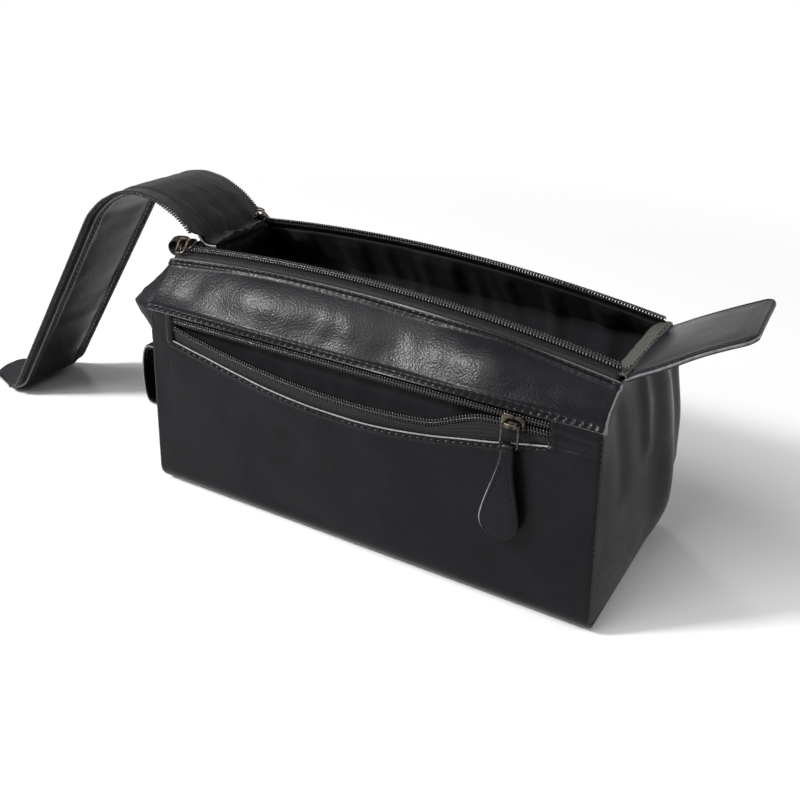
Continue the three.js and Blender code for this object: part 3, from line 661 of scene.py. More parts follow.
def edge_highlight_material():
    # Cut and folded edges of the split leather, coloured greyer than the face: a painted
    # highlight, so that every hem ends in a thin light line where its fold catches the light.
    material, tree, place = start_material("split_leather_edge_painted")
    colour = settings().edge_hex
    edge_noise = add_node(tree, "TexNoise", {"Vector": place, "Scale": 500.0, "Detail": 4.0}).outputs[0]
    # The noise makes the painted highlight patchy, from half its colour to all of it.
    worn = add_node(tree, "MapRange", {"Value": edge_noise, **NOISE_SPREAD, "To Min": 0.0, "To Max": 1.0})
    mix = {0: worn.outputs[0], 6: shade(colour, 0.5), 7: shade(colour, 1.0)}
    paint = add_node(tree, "Mix", mix, data_type="RGBA").outputs[2]
    relief = add_node(tree, "Bump", {"Height": edge_noise, "Strength": 0.3, "Distance": 0.0002}).outputs[0]
    return finish_material(
        material, {"Base Color": paint, "Roughness": 0.4, "Specular IOR Level": 0.4, "Normal": relief}
    )


def lining_material():
    # Plain-woven polyester taffeta, calendered: a soft sheen over threads of 0.35 mm,
    # drawn at 0.7 mm, because the real pitch is finer than a pixel of the picture.
    material, tree, place = start_material("polyester_taffeta_calendered", "UV")
    colour = settings().lining_hex
    threads = {"Vector": place, "Scale": WAVE_TURN / 0.0007, "Distortion": 0.6, "Detail": 1.0}
    warp = add_node(tree, "TexWave", threads, bands_direction="X").outputs[1]
    weft = add_node(tree, "TexWave", threads, bands_direction="Y").outputs[1]
    cloth = add_node(tree, "Math", {0: warp, 1: weft}, operation="MAXIMUM").outputs[0]
    slack = add_node(tree, "TexNoise", {"Vector": place, "Scale": 60.0, "Detail": 4.0}).outputs[0]
    relief = add_node(tree, "Bump", {"Height": slack, "Strength": 0.35, "Distance": 0.0018})
    mix = {0: cloth, 6: shade(colour, 0.6), 7: shade(colour, 1.5)}
    sheen = add_node(tree, "Mix", mix, data_type="RGBA").outputs[2]
    weave = {"Height": cloth, "Strength": 0.25, "Distance": 0.00012, "Normal": relief.outputs[0]}
    relief = add_node(tree, "Bump", weave).outputs[0]
    return finish_material(
        material, {"Base Color": sheen, "Roughness": 0.5, "Specular IOR Level": 0.055, "Normal": relief}
    )


def tape_material(name, hex_colour, rib=0.0011):
    # Woven polyester tape: matt, with a herringbone of raised ribs about 1 mm apart; the light that the
    # ribs catch is painted into the colour as small grey specks.
    material, tree, place = start_material(name, "UV")
    raised = {"Vector": place, "Scale": WAVE_TURN / rib, "Distortion": 0.8, "Detail Scale": 3.0}
    ribs = add_node(tree, "TexWave", raised, bands_direction="Y").outputs[1]
    slant = add_node(tree, "Mapping", {"Vector": place, "Rotation": (0, 0, math.radians(35))})
    lines = {"Vector": slant.outputs[0], "Scale": WAVE_TURN / 0.0008, "Distortion": 0.5}
    twill = add_node(tree, "TexWave", lines, bands_direction="X").outputs[1]
    cloth = add_node(tree, "Math", {0: ribs, 1: twill}, operation="MULTIPLY").outputs[0]
    # Painted highlight and shade: the rib pattern runs from 0.3 to 3.4 times the tape's colour.
    mix = {0: cloth, 6: shade(hex_colour, 0.3), 7: shade(hex_colour, 3.4)}
    yarn_and_painted_highlight = add_node(tree, "Mix", mix, data_type="RGBA").outputs[2]
    relief = add_node(tree, "Bump", {"Height": cloth, "Strength": 0.7, "Distance": 0.0004}).outputs[0]
    return finish_material(
        material,
        {
            "Base Color": yarn_and_painted_highlight,
            "Roughness": 0.6,
            "Specular IOR Level": 0.2,
            "Sheen Weight": 0.03,
            "Sheen Roughness": 0.5,
            "Normal": relief,
        },
    )


def coil_material():
    # Polyester monofilament, drawn and wound: glossy black thread with small points of light.
    material, tree, place = start_material("polyester_monofilament_coil")
    colour = settings().coil_hex
    broad = add_node(tree, "TexNoise", {"Vector": place, "Scale": 900.0}).outputs[0]
    mix = {0: broad, 6: shade(colour, 0.6), 7: shade(colour, 1.8)}
    filament = add_node(tree, "Mix", mix, data_type="RGBA").outputs[2]
    gloss = add_node(tree, "MapRange", {"Value": broad, **NOISE_SPREAD, "To Min": 0.22, "To Max": 0.36})
    return finish_material(
        material, {"Base Color": filament, "Roughness": gloss.outputs[0], "Specular IOR Level": 0.45}
    )


def thread_material():
    # Bonded polyester sewing thread, twisted from three yarns: dull black with a fine diagonal twist.
    material, tree, place = start_material("bonded_polyester_thread")
    colour = settings().thread_hex
    slant = add_node(tree, "Mapping", {"Vector": place, "Rotation": (0.6, 0.4, 0.7)})
    yarns = {"Vector": slant.outputs[0], "Scale": WAVE_TURN / 0.0005, "Distortion": 0.4}
    twist = add_node(tree, "TexWave", yarns, bands_direction="X").outputs[1]
    mix = {0: twist, 6: shade(colour, 0.6), 7: shade(colour, 1.6)}
    yarn_and_painted_highlight = add_node(tree, "Mix", mix, data_type="RGBA").outputs[2]
    relief = add_node(tree, "Bump", {"Height": twist, "Strength": 0.5, "Distance": 0.0001}).outputs[0]
    return finish_material(
        material, {"Base Color": yarn_and_painted_highlight, "Roughness": 0.8, "Specular IOR Level": 0.1, "Normal": relief}
    )


def metal_material():
    # Zinc alloy, die-cast and plated with dark nickel: warm grey mirror with soft worn patches, spread by
    # noise rather than along the edges.
    material, tree, place = start_material("zinc_diecast_dark_nickel_plated")
    clouds = {"Vector": place, "Scale": 350.0, "Detail": 4.0, "Roughness": 0.6}
    smudge = add_node(tree, "TexNoise", clouds).outputs[0]
    rubbed = {"Value": smudge, "From Min": 0.4, "From Max": 0.75, "To Min": 0.0, "To Max": 1.0}
    worn = add_node(tree, "MapRange", rubbed).outputs[0]
    mix = {0: worn, 6: shade(settings().metal_hex), 7: shade("74695f")}
    plating = add_node(tree, "Mix", mix, data_type="RGBA").outputs[2]
    gloss = add_node(tree, "MapRange", {"Value": smudge, **NOISE_SPREAD, "To Min": 0.1, "To Max": 0.24})
    relief = add_node(tree, "Bump", {"Height": smudge, "Strength": 0.15, "Distance": 0.0001}).outputs[0]
    return finish_material(
        material, {"Base Color": plating, "Metallic": 1.0, "Roughness": gloss.outputs[0], "Normal": relief}
    )


def board_material():
    # Grey board, rolled from waste paper: dull, with short fibres in its face.
    material, tree, place = start_material("grey_board_rolled")
    fibre = add_node(tree, "TexNoise", {"Vector": place, "Scale": 700.0, "Detail": 5.0}).outputs[0]
    mix = {0: fibre, 6: shade("34322f"), 7: shade("4a4743")}
    pulp = add_node(tree, "Mix", mix, data_type="RGBA").outputs[2]
    relief = add_node(tree, "Bump", {"Height": fibre, "Strength": 0.2, "Distance": 0.0002}).outputs[0]
    return finish_material(material, {"Base Color": pulp, "Roughness": 0.85, "Normal": relief})


LOOKS = {}


def look_of(key):
    """The finish of that name, made when it is first asked for."""
    makers = {
        "leather": leather_material,
        "leather_edge": edge_highlight_material,
        "lining": lining_material,
        "tape": lambda: tape_material("woven_polyester_zip_tape", settings().tape_hex),
        "binding": lambda: tape_material("woven_grosgrain_binding", "454541", 0.0014),
        "coil": coil_material,
        "thread": thread_material,
        "metal": metal_material,
        "board": board_material,
    }
    if key not in LOOKS:
        LOOKS[key] = makers[key]()
    return LOOKS[key]


# Leather walls


def hem(distance):
    """Height of a folded hem at a distance from its edge."""
    fold = 0.6 * (1 - ease((distance - HEM_WIDTH) / 1.4))
    round_edge = -0.5 * (1 - ease(distance / 0.9))
    return fold + round_edge


def puckers(run, distance):
    """Pits under the stitches of a hem, and small swells of leather between them."""
    turn = math.cos(2 * math.pi * run / stitch_pitch())
    pit = -0.75 * clamp(0.55 + 0.9 * turn) * bell(distance - HEM_STITCH, 0.42)
    return pit - 0.12 * turn * bell(distance - HEM_STITCH - 0.6, 1.1)


def dents(x, y, z, height=0.7, seed=0.0):
    """Broad soft hollows of a slack leather wall."""
    return height * (soft_noise(x, y, z, 42.0, seed) + 0.4 * soft_noise(x, y, z, 19.0, seed + 7))


def rolled(station):
    """Station and depth of a wall's edge column where it rolls in to the corner seam."""
    to_corner = HALF_LENGTH - abs(station)
    if to_corner >= CORNER_ROLL:
        return station, 0.0
    angle = (1 - to_corner / CORNER_ROLL) * math.pi / 2
    rolled_station = HALF_LENGTH - CORNER_ROLL * (1 - math.sin(angle))
    return math.copysign(rolled_station, station), CORNER_ROLL * (1 - math.cos(angle))


def wall_columns():
    """Stations along the bag, close together where the leather rolls in to its corners."""
    edge = [0.0, 0.3, 0.6, 0.9, 1.2, 1.5, 1.8, 2.4, 3.2]
    middle = spaced(-HALF_LENGTH + 4.2, HALF_LENGTH - 4.2, 0.93)
    return [-HALF_LENGTH + e for e in edge] + middle + [HALF_LENGTH - e for e in reversed(edge)]


# Lengths of the body leather's stretches, from the pocket's lip down and round to the rear seam
FRONT_RUN = 90.0
OVER_LIP = 14.0
CORNER_RUN = BASE_CORNER * math.pi / 2
BOTTOM_RUN = 2 * (HALF_DEPTH - BASE_CORNER)
REAR_RUN = SHOULDER - TOP_GAP - BASE_CORNER
NEAR_LIP = 11.0


def wrap_section(station, v):
    """The body leather from the shoulder and the pocket's lip (v = 0) down, under the base and
    up the rear wall: (y, z)."""
    flat = HALF_DEPTH - BASE_CORNER
    if v <= FRONT_RUN:
        top = lip_height(station)
        if v < 0:
            z = lerp(top, SHOULDER - TOP_GAP, -v / OVER_LIP)
        elif v <= NEAR_LIP:
            z = top - v
        else:
            z = lerp(top - NEAR_LIP, BASE_CORNER, (v - NEAR_LIP) / (FRONT_RUN - NEAR_LIP))
        return front_face(station, z), z
    v -= FRONT_RUN
    if v <= CORNER_RUN:
        angle = v / BASE_CORNER
        return -flat - BASE_CORNER * math.cos(angle), BASE_CORNER * (1 - math.sin(angle))
    v -= CORNER_RUN
    if v <= BOTTOM_RUN:
        return -flat + v, 0.0
    v -= BOTTOM_RUN
    if v <= CORNER_RUN:
        angle = v / BASE_CORNER
        return flat + BASE_CORNER * math.sin(angle), BASE_CORNER * (1 - math.cos(angle))
    v -= CORNER_RUN
    z = BASE_CORNER + v
    share = clamp(v / REAR_RUN)
    length = (station + HALF_LENGTH) / (2 * HALF_LENGTH)
    return HALF_DEPTH + REAR_BULGE * math.sin(math.pi * length) * math.sin(math.pi * share), z


def wrap_point(station, v):
    """The body leather as one sheet, rolled in at the corner seams."""
    s, depth = rolled(station)
    y, z = wrap_section(station, v)
    if depth:
        y2, z2 = wrap_section(station, v + 0.05)
        y1, z1 = wrap_section(station, v - 0.05)
        step = math.hypot(y2 - y1, z2 - z1)
        y -= depth * (z2 - z1) / step
        z += depth * (y2 - y1) / step
    return Vector((drawn_in(s, z), y, z))


def crinkle(a, b, size, seed):
    """Thin creases: ridges where a noise passes through nothing."""
    return max(0.0, 1 - abs(soft_noise(a, b, 0, size, seed)) / 0.16)


# Places beside and below the mouth's ends that are creased: x, z and how far
CREASED = ((-112.0, 78.0, 13.0), (-118.0, 98.0, 9.0), (112.0, 88.0, 13.0))


def wrap_relief(station, v, p):
    """Dents, hems, stitch pits and creases of the body leather."""
    z = p.z
    corner = HALF_LENGTH - abs(station)
    height = dents(p.x, p.y, z, 0.9, 3.1) * ease(z / 14.0) * ease(corner / 12.0)
    if v >= FRONT_RUN:
        return height
    beside = max(MOUTH_LEFT - station, station - MOUTH_RIGHT, 0.0)
    if v >= 0:
        height += (hem(v) + puckers(station, v)) * ease(1 - beside / 4.0)
    height += hem(beside + 0.01) * (1 - ease(v / 4.0)) if beside > 0 else 0.0
    for x0, z0, reach in CREASED:
        near = bell(p.x - x0, reach) * bell(z - z0, reach)
        height += near * (0.5 * soft_noise(p.x, p.y, z, 9.0, 4.2) - 0.18 * crinkle(p.x, 1.4 * z, 11.0, x0))
    if station > MOUTH_RIGHT:
        # Two long creases run from the mouth's right end to the corner
        rise = z - (SHOULDER - 4.0 - 0.09 * (station - MOUTH_RIGHT))
        height += (0.6 * bell(rise, 1.5) - 0.6 * bell(rise + 2.6, 1.3)) * ease(corner / 4.0)
        lift = z - (lip_height(MOUTH_RIGHT) + 1.0)
        height += (0.4 * bell(lift + 5.0, 3.4) - 0.7 * bell(lift, 1.2)) * ease(corner / 4.0)
    return height


def make_wrap():
    columns = [c for c in wall_columns() if min(abs(c - MOUTH_LEFT), abs(c - MOUTH_RIGHT)) > 3.4]
    for mouth, out in ((MOUTH_LEFT, -1), (MOUTH_RIGHT, 1)):
        columns += [mouth + out * e for e in (-2.4, -1.2, 0, 0.3, 0.7, 1.2, 1.8, 2.4, 3.1)]
    columns.sort()
    rows = spaced(-OVER_LIP, 0, 1.0)[:-1] + HEM_ROWS + [5.4, 6.8, 8.6, NEAR_LIP]
    stretches = (
        (FRONT_RUN - NEAR_LIP, 2.4), (CORNER_RUN, 1.6), (BOTTOM_RUN, 9.0), (CORNER_RUN, 1.6), (REAR_RUN, 3.0)
    )
    for run, step in stretches:
        rows += spaced(rows[-1], rows[-1] + run, step)[1:]
    surface = Surface(wrap_point, -1, wrap_relief)
    # The faces just under the mouth's cut lip take the second material, the painted edge highlight.
    bm = laid_grid(
        surface, columns, rows,
        hole=lambda u, v: in_mouth(u) and v < 0,
        rubbed=lambda u, v: in_mouth(u) and v < 0.4,
    )
    piece = make_piece("body_leather", bm, "leather", LEATHER, 0.6, 3, rim="leather_edge")
    put(piece, "bag", "leather", "front_panel", "bottom_panel", "back_panel")
    places = seam_places(surface, lambda t: (t, HEM_STITCH), MOUTH_LEFT + 2, MOUTH_RIGHT - 2, stitch_pitch())
    sew("lip_stitches", places, "bag", "leather")
    for side, name in ENDS:
        for face, label in ((-1, "front"), (1, "rear")):
            out = Vector((side * 0.7, face * 0.7, 0))
            places = []
            for z in spaced(11.0, 100.0, CORNER_PITCH):
                point = Vector((end_station(side, z) - side * 0.35, face * (HALF_DEPTH - 0.9), z))
                places.append((point, Vector((0, 0, 1)), out))
            sew(f"{name}_{label}_corner_stitches", places, "bag", "leather", length=1.9, thick=0.9)


# The band laps over the body leather at the shoulder, and its rows are close near both edges
BAND_OVERLAP = 1.7
BAND_NEAR = 8.0


def band_run(station):
    """The band's width across, from its overlap at the shoulder to its top edge."""
    x = drawn_in(station, SHOULDER)
    rise = opening_height(x) - EDGE_DROP - SHOULDER
    return math.hypot(rise, HALF_DEPTH - EDGE_HALF_WIDTH) + BAND_OVERLAP


def band_distance(station, w):
    """Distance from the band's lower edge: the rows near both edges keep their distance to them."""
    total = band_run(station)
    if w < 1:
        return BAND_NEAR * w
    if w > 2:
        return total - BAND_NEAR * (3 - w)
    return lerp(BAND_NEAR, total - BAND_NEAR, w - 1)


# Where the band puffs out or falls in: height, place along the bag, width
BAND_PUFFS = ((2.4, -60.0, 26.0), (3.9, 66.0, 19.0), (-2.0, 16.0, 17.0))


def band_base(side):
    """The slanted band of one side, by station and row."""

    def point(station, w):
        s, depth = rolled(station)
        x = drawn_in(s, SHOULDER)
        top = opening_height(x) - EDGE_DROP
        share = (band_distance(station, w) - BAND_OVERLAP) / (band_run(station) - BAND_OVERLAP)
        z = SHOULDER + (top - SHOULDER) * share
        crown = BAND_CROWN * hump(share) * math.sin(math.pi * (station + HALF_LENGTH) / (2 * HALF_LENGTH))
        half = lerp(HALF_DEPTH, EDGE_HALF_WIDTH, max(share, 0.0))
        slope = math.atan2(HALF_DEPTH - EDGE_HALF_WIDTH, top - SHOULDER)
        y = half + crown - depth * math.cos(slope)
        return Vector((x, side * y, z + crown * max(share, 0.0) - depth * math.sin(slope)))

    return point


def band_relief(side):
    """Puffs, hems, stitch pits and creases of a band."""

    def relief(station, w, p):
        total = band_run(station)
        low = band_distance(station, w)
        high = total - low
        calm = ease((HALF_LENGTH - abs(station)) / 10.0) * hump(low / total) ** 0.5
        puff = sum(rise * bell(p.x - x, width) for rise, x, width in BAND_PUFFS)
        height = 1.0 * (1 - ease((low - 1.0) / 10.0)) + hem(low) + hem(high)
        pits = puckers(station, low) + puckers(station + 1.4, high)
        height += pits * ease((HALF_LENGTH - abs(station) - 1.5) / 2)
        height += (puff + dents(p.x, side * 20, p.z, 1.0, 1.7)) * calm
        height += 0.3 * soft_noise(p.x, side, p.z, 9.0, 4.4) * calm
        rumpled = bell(p.x - 88, 22.0) * calm
        creases = 0.35 * soft_noise(p.x, side, p.z, 14.0, 2.2) - 0.18 * crinkle(p.x, 1.5 * p.z, 18.0, 3.7)
        return height + rumpled * creases

    return relief


def make_bands():
    low = [n / BAND_NEAR for n in HEM_ROWS + [5.2, 6.4, BAND_NEAR]]
    rows = low + [1 + k / 8 for k in range(1, 8)] + [3 - n for n in reversed(low)]
    columns = wall_columns()
    for side, name in SIDES:
        surface = Surface(band_base(side), -side, band_relief(side), 0.01)

        # Faces near the band's folded edges and its ends take the second material, the painted edge
        # highlight.
        def on_fold(station, w):
            from_seam = band_distance(station, w)
            to_edge = band_run(station) - from_seam
            return min(from_seam, to_edge) < 0.7 or HALF_LENGTH - abs(station) < 0.9

        bm = laid_grid(surface, columns, rows, rubbed=on_fold)
        piece = make_piece(f"{name}_band_leather", bm, "leather", LEATHER, 0.6, 3, rim="leather_edge")
        put(piece, "bag", "leather", f"{name}_band")
        for edge, row in (("lower", HEM_STITCH / BAND_NEAR), ("upper", 3 - HEM_STITCH / BAND_NEAR)):
            reach = HALF_LENGTH - 4
            places = seam_places(surface, lambda t, row=row: (t, row), -reach, reach, stitch_pitch())
            sew(f"{name}_band_{edge}_stitches", places, "bag", "leather")


END_ROWS_TOP = SHOULDER + 0.97 * (OPENING_RISES[2] - EDGE_DROP)
SEAT_HALF_WIDTH = 24.0


def end_top(side, y):
    """Height of an end's top edge, cut lower where the lid's root sits."""
    x = OPENING_LEFT if side < 0 else OPENING_RIGHT
    seat = side < 0 and abs(y) < SEAT_HALF_WIDTH
    return opening_height(x) - (0.2 + LINING + CLEARANCE if seat else EDGE_DROP)


def ear_height(z, across):
    """The soft corner that stands out in front of the left end, at its front shoulder."""
    near = 1 - abs(z - 102.0) / 17.0
    peak = 0.5 * ease(near) + 0.5 * clamp(near)
    reach = (across + 1) / 0.1
    return (12.5 * peak + 4.0 * hump((z - 113.0) / 44.0 + 0.5)) * reach * math.exp(1 - reach)


def end_base(side):
    """The surface of one end, by share across and share up."""
    inset, roll_width, roll_depth = 1.5, 1.8, 0.9
    end_height = opening_height(OPENING_RIGHT) - EDGE_DROP

    def point(across, share):
        low = inset + (END_ROWS_TOP - inset) * min(share, 1)
        edge = inside_half_depth(low, end_station(side, low), inset)
        top_edge = inside_half_depth(end_top(side, HALF_DEPTH), OPENING_RIGHT, inset)
        rise = max(share - 1, 0)
        y = across * (edge + (top_edge - edge) * rise)
        z = low + (end_top(side, across * top_edge) - low) * rise
        ear = ear_height(z, across) if side < 0 else 0.0
        full = END_BULGE if side < 0 else 6.5 * (1 + 0.35 * across)
        bulge = full * hump(z / end_height) ** 0.8 * (1 - across**2) + ear
        rim = min((1 - abs(across)) * edge, z - inset)
        roll = 0.0
        if rim < roll_width:
            angle = (1 - max(rim, 0) / roll_width) * math.pi / 2
            roll = roll_depth * (1 - math.cos(angle))
        return Vector((end_station(side, z) + side * (bulge - 0.3 - roll), y, z))

    return point


# Long soft folds of the ends: (y, z) from and to, height and width in mm
RIGHT_FOLDS = (
    ((6.0, 116.0), (30.0, 8.0), 6.0, 13.0),
    ((30.0, 118.0), (44.0, 30.0), 4.6, 6.5),
    ((-12.0, 114.0), (-6.0, 70.0), 1.6, 4.0),
    ((-38.0, 112.0), (-30.0, 60.0), -1.2, 6.0),
)
LEFT_FOLDS = (((10.0, 104.0), (34.0, 20.0), 3.0, 8.0), ((-6.0, 90.0), (-22.0, 24.0), -1.6, 7.0))


def fold_height(folds, y, z):
    """Height of all the folds of an end at one place."""
    height = 0.0
    for (y0, z0), (y1, z1), rise, width in folds:
        dy, dz = y1 - y0, z1 - z0
        length = math.hypot(dy, dz)
        t = ((y - y0) * dy + (z - z0) * dz) / length**2
        off = ((y - y0) * dz - (z - z0) * dy) / length
        height += rise * bell(off, width) * ease(t * 4 + 0.4) * ease((1 - t) * 3 + 0.3)
    return height


def make_ends():
    for side, name in ENDS:
        folds = LEFT_FOLDS if side < 0 else RIGHT_FOLDS

        def relief(across, share, p, folds=folds, side=side):
            calm = ease((1 - abs(across)) * 5) * ease(p.z / 14)
            height = fold_height(folds, p.y, p.z) * calm + dents(side * 30, p.y, p.z, 0.9, 2.3 + side) * calm
            # Short gathers beside the upper corners
            gather = bell(p.z - SHOULDER, 9.0) * bell((1 - abs(across)) * HALF_DEPTH - 5.0, 4.0)
            return height + 0.35 * gather * math.sin(p.z / 0.9)

        edge = [0.0, 0.01, 0.02, 0.032, 0.045, 0.06, 0.08]
        columns = [-1 + e for e in edge] + spaced(-0.9, 0.9, 0.035) + [1 - e for e in reversed(edge)]
        rows = [0.0, 0.004, 0.01, 0.018, 0.03, 0.045] + spaced(0.06, 1.0, 0.016) + [1.25, 1.5, 1.75, 2.0]
        bm = laid_grid(Surface(end_base(side), side, relief, 0.002), columns, rows)
        piece = make_piece(f"{name}_end_leather", bm, "leather", wall=LEATHER, edge=0.4)
        put(piece, "bag", "leather", f"{name}_end_panel")


# Linings

FRONT_WALL_INSET = LEATHER + CLEARANCE + LINING + POCKET_ROOM + LINING + CLEARANCE
BAND_INSET = 2 * LEATHER + 2 * CLEARANCE + TAPE
LINING_LOW = LEATHER + 1.5 + 3 * CLEARANCE + LINING
LINING_SHARE = 1 - (LEATHER + TOP_GAP + CLEARANCE) / HALF_LENGTH
LINING_SEAM = 2 - 6.5 / 27.0


def lining_base(side, wall_inset):
    """The front or rear lining, bent in under its band."""

    def point(station, share):
        x = drawn_in(station, SHOULDER)
        top = opening_height(x) - EDGE_DROP - CLEARANCE
        slope = (HALF_DEPTH - EDGE_HALF_WIDTH) / (top - SHOULDER)
        bend = SHOULDER + (wall_inset - BAND_INSET) / slope
        low = LINING_LOW
        z = low + (bend - low) * share if share < 1 else bend + (top - bend) * (share - 1)
        y = HALF_DEPTH - wall_inset if share < 1 else half_depth_at(z, x) - BAND_INSET
        return Vector((drawn_in(station, z) * LINING_SHARE, side * y, z))

    return point


def end_lining_base(side):
    """The lining of one end."""
    low = LINING_LOW
    high = opening_height(OPENING_LEFT if side < 0 else OPENING_RIGHT) - EDGE_DROP
    inset = END_SEAM + LEATHER + CLEARANCE

    def point(across, share):
        z = low + (high - low) * share
        slant = half_depth_at(z, end_station(side, z)) - BAND_INSET - LINING - CLEARANCE
        front = min(HALF_DEPTH - FRONT_WALL_INSET - LINING - CLEARANCE, slant)
        back = min(HALF_DEPTH - BAND_INSET - LINING - CLEARANCE, slant)
        return Vector((end_station(side, z) - side * inset, lerp(-front, back, across), z))

    return point


def hanging_folds(run, z, seed):
    """Soft upright folds of a lining that is a little too long for its seam."""
    wave = noise.noise(Vector((run / 13.0, z / 90.0, seed)))
    wave += 0.5 * noise.noise(Vector((run / 6.0, z / 45.0, seed + 3)))
    return 2.1 * max(wave + 0.3, 0.0) * ease(z / 12.0)


def make_linings():
    jobs = (
        ("front_lining", lining_base(-1, FRONT_WALL_INSET), -1, 1.0),
        ("back_lining", lining_base(1, BAND_INSET), 1, 2.0),
    )
    for name, base, side, seed in jobs:
        def relief(station, share, p, seed=seed):
            calm = ease((2.0 - share) * 4) * ease((HALF_LENGTH - abs(station)) / 10)
            return hanging_folds(p.x, p.z, seed) * calm

        rows = spaced(0, 1, 0.05) + spaced(1, 2, 0.08)[1:]
        surface = Surface(base, side, relief, 0.01)
        columns = spaced(-HALF_LENGTH, HALF_LENGTH, 1.8)
        piece = lay(f"{name}_cloth", surface, columns, rows, "lining", CLOTH_WALL, "lining", name)
        reach = HALF_LENGTH - 6
        places = seam_places(surface, lambda t: (t, LINING_SEAM), -reach, reach, stitch_pitch())
        sew(f"{name}_stitches", places, "bag", "lining", thick=0.6)
        run = run_lengths([base(0.0, share) for share in rows])[-1]
    for side, name in ENDS:
        base = end_lining_base(side)

        def relief(across, share, p, side=side):
            calm = ease(across * 8) * ease((1 - across) * 8) * ease((1.0 - share) * 8)
            return 0.7 * hanging_folds(p.y, p.z, 5.0 + side) * calm

        surface = Surface(base, -side, relief, 0.002)
        shares = spaced(0, 1, 0.03)
        node = f"{name}_lining"
        piece = lay(f"{node}_cloth", surface, shares, shares, "lining", CLOTH_WALL, "lining", node)
        height = (base(0.5, 1.0) - base(0.5, 0.0)).length
        middle = (base(1.0, 0.5) - base(0.0, 0.5)).length
    low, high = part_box("bottom_lining")
    low, high = low / MM, high / MM

    def floor_point(u, v):
        return Vector((lerp(low.x, high.x, u), lerp(low.y, high.y, v), high.z - 0.15))

    def floor_relief(u, v, p):
        return 0.25 * soft_noise(p.x, p.y, 0, 14.0, 8.0) * hump(u) * hump(v)

    surface = Surface(floor_point, 1, floor_relief, 0.002)
    piece = lay(
        "bottom_lining_cloth", surface, spaced(0, 1, 0.01), spaced(0, 1, 0.03),
        "lining", CLOTH_WALL, "lining", "bottom_lining",
    )


# Zips


def curve_through(points, share):
    """A smooth line through a few points: share counts its legs."""
    count = len(points) - 1
    i = min(int(clamp(share, 0, count - 1e-6)), count - 1)
    t = clamp(share - i)
    p1, p2 = points[i], points[i + 1]
    p0 = points[i - 1] if i else [2 * a - b for a, b in zip(p1, p2)]
    p3 = points[i + 2] if i + 2 <= count else [2 * b - a for a, b in zip(p1, p2)]
    return [
        0.5 * (2 * b + (c - a) * t + (2 * a - 5 * b + 4 * c - d) * t**2 + (3 * b - a - 3 * c + d) * t**3)
        for a, b, c, d in zip(p0, p1, p2, p3)
    ]


CHAIN_TILT = math.radians(33)


def opening_tape_base(side):
    """The opening's tape, from its chain down under the band's edge."""

    def point(x, share):
        h = opening_height(x)
        path = [
            (30.4, h - 0.9),
            (COIL_BACK - 0.4, h - 2.2),
            (COIL_BACK + 0.8, h - 2.6),
            (COIL_BACK + 2.2, h - 2.9),
            (EDGE_HALF_WIDTH - 0.6, h - EDGE_DROP - 0.4),
            (EDGE_HALF_WIDTH + 0.9, h - EDGE_DROP - 3.6),
        ]
        y, z = curve_through(path, share)
        return Vector((x, side * y, z))

    return point


def make_opening_zips():
    margin = END_SEAM + LEATHER + CLEARANCE
    low, high = OPENING_LEFT + margin, OPENING_RIGHT - margin
    for side, name in SIDES:
        def relief(x, share, p, side=side):
            return 0.18 * soft_noise(p.x, side * 9, 0, 7.0, 3.0) * hump(share / 5)

        surface, node = Surface(opening_tape_base(side), -side, relief, 0.01), f"{name}_tape"
        columns, rows = spaced(low, high, 1.5), spaced(0, 5, 0.25)
        lay(f"{node}_weave", surface, columns, rows, "tape", TAPE_WALL, "zip_tape", node, offset=0.0)

        def place(s, side=side):
            x = low + s
            back = Vector((x, side * COIL_BACK, opening_height(x) - 0.9))
            flat, steep = math.cos(CHAIN_TILT), math.sin(CHAIN_TILT)
            return back, Vector((0, -side * flat, steep)), Vector((0, side * steep, flat))

        put(make_coil(f"{name}_chain", place, high - low), "bag", "zip_coil", f"{name}_coil")


def make_tape_ends():
    """The opening's tapes curl up behind the sliders where they leave the chain."""
    for side, name in SIDES:
        def curl(t, share, side=side):
            h = opening_height(OPENING_LEFT)
            path = [(3.0, -1.9), (-0.5, -1.6), (-3.2, 0.4), (-3.0, 3.4), (-0.2, 4.9), (2.6, 3.6), (2.8, 1.6)]
            x, z = curve_through(path, t)
            y = lerp(27.0, 34.5, share) - 0.25 * t * (share - 0.3) * 3
            return Vector((OPENING_LEFT + x, side * y, h + z - 1.2 * max(share - 0.4, 0) * 2))

        def weave(t, share, p):
            return 0.3 * soft_noise(p.x, p.y, p.z, 4.0, 1.0)

        surface = Surface(curl, side, weave, 0.01)
        rows = spaced(0, 1, 0.12)
        lay(f"{name}_tape_end", surface, spaced(0, 6, 0.2), rows, "tape", 0.7, "zip_tape", offset=0.0)


def make_root_facing():
    """Cloth that joins the strip's lining to the left end's lining, gathered into its seam."""
    half, widening = 28.6, 0.06
    h = opening_height(OPENING_LEFT + 9.7)

    def facing(y, share):
        path = [
            (-111.9, 1.2), (-110.4, -1.2), (-108.6, -4.0), (-109.0, -7.5), (-112.5, -12.5), (-118.4, -20.0)
        ]
        x, z = curve_through(path, share)
        wide = y * (1 + widening * ease(share / 1.5))
        return Vector((x - 0.6 * (abs(y) / 28) ** 4, wide, h + z - 2.0 * max((abs(y) - 22) / 7, 0) ** 1.5))

    def gathers(y, share, p):
        deep = bell(share - 2.2, 1.7)
        return deep * (1.1 * soft_noise(p.y, 0, p.z, 4.2, 3.0) + 0.6 * soft_noise(p.y, 0, p.z, 2.2, 6.0))

    surface = Surface(facing, 1, gathers, 0.01)
    rows = spaced(0, 5, 0.125)
    piece = lay("root_facing_cloth", surface, spaced(-half, half, 0.7), rows, "lining", 0.4, "lining")
    run = run_lengths([facing(0.0, share) for share in rows])[-1]
    places = seam_places(surface, lambda t: (t, 0.75 + 0.2 * math.sin(t / 3.0)), -24, 24, 2.6)
    sew("root_facing_stitches", places, "bag", "lining", length=1.8, thick=0.6)


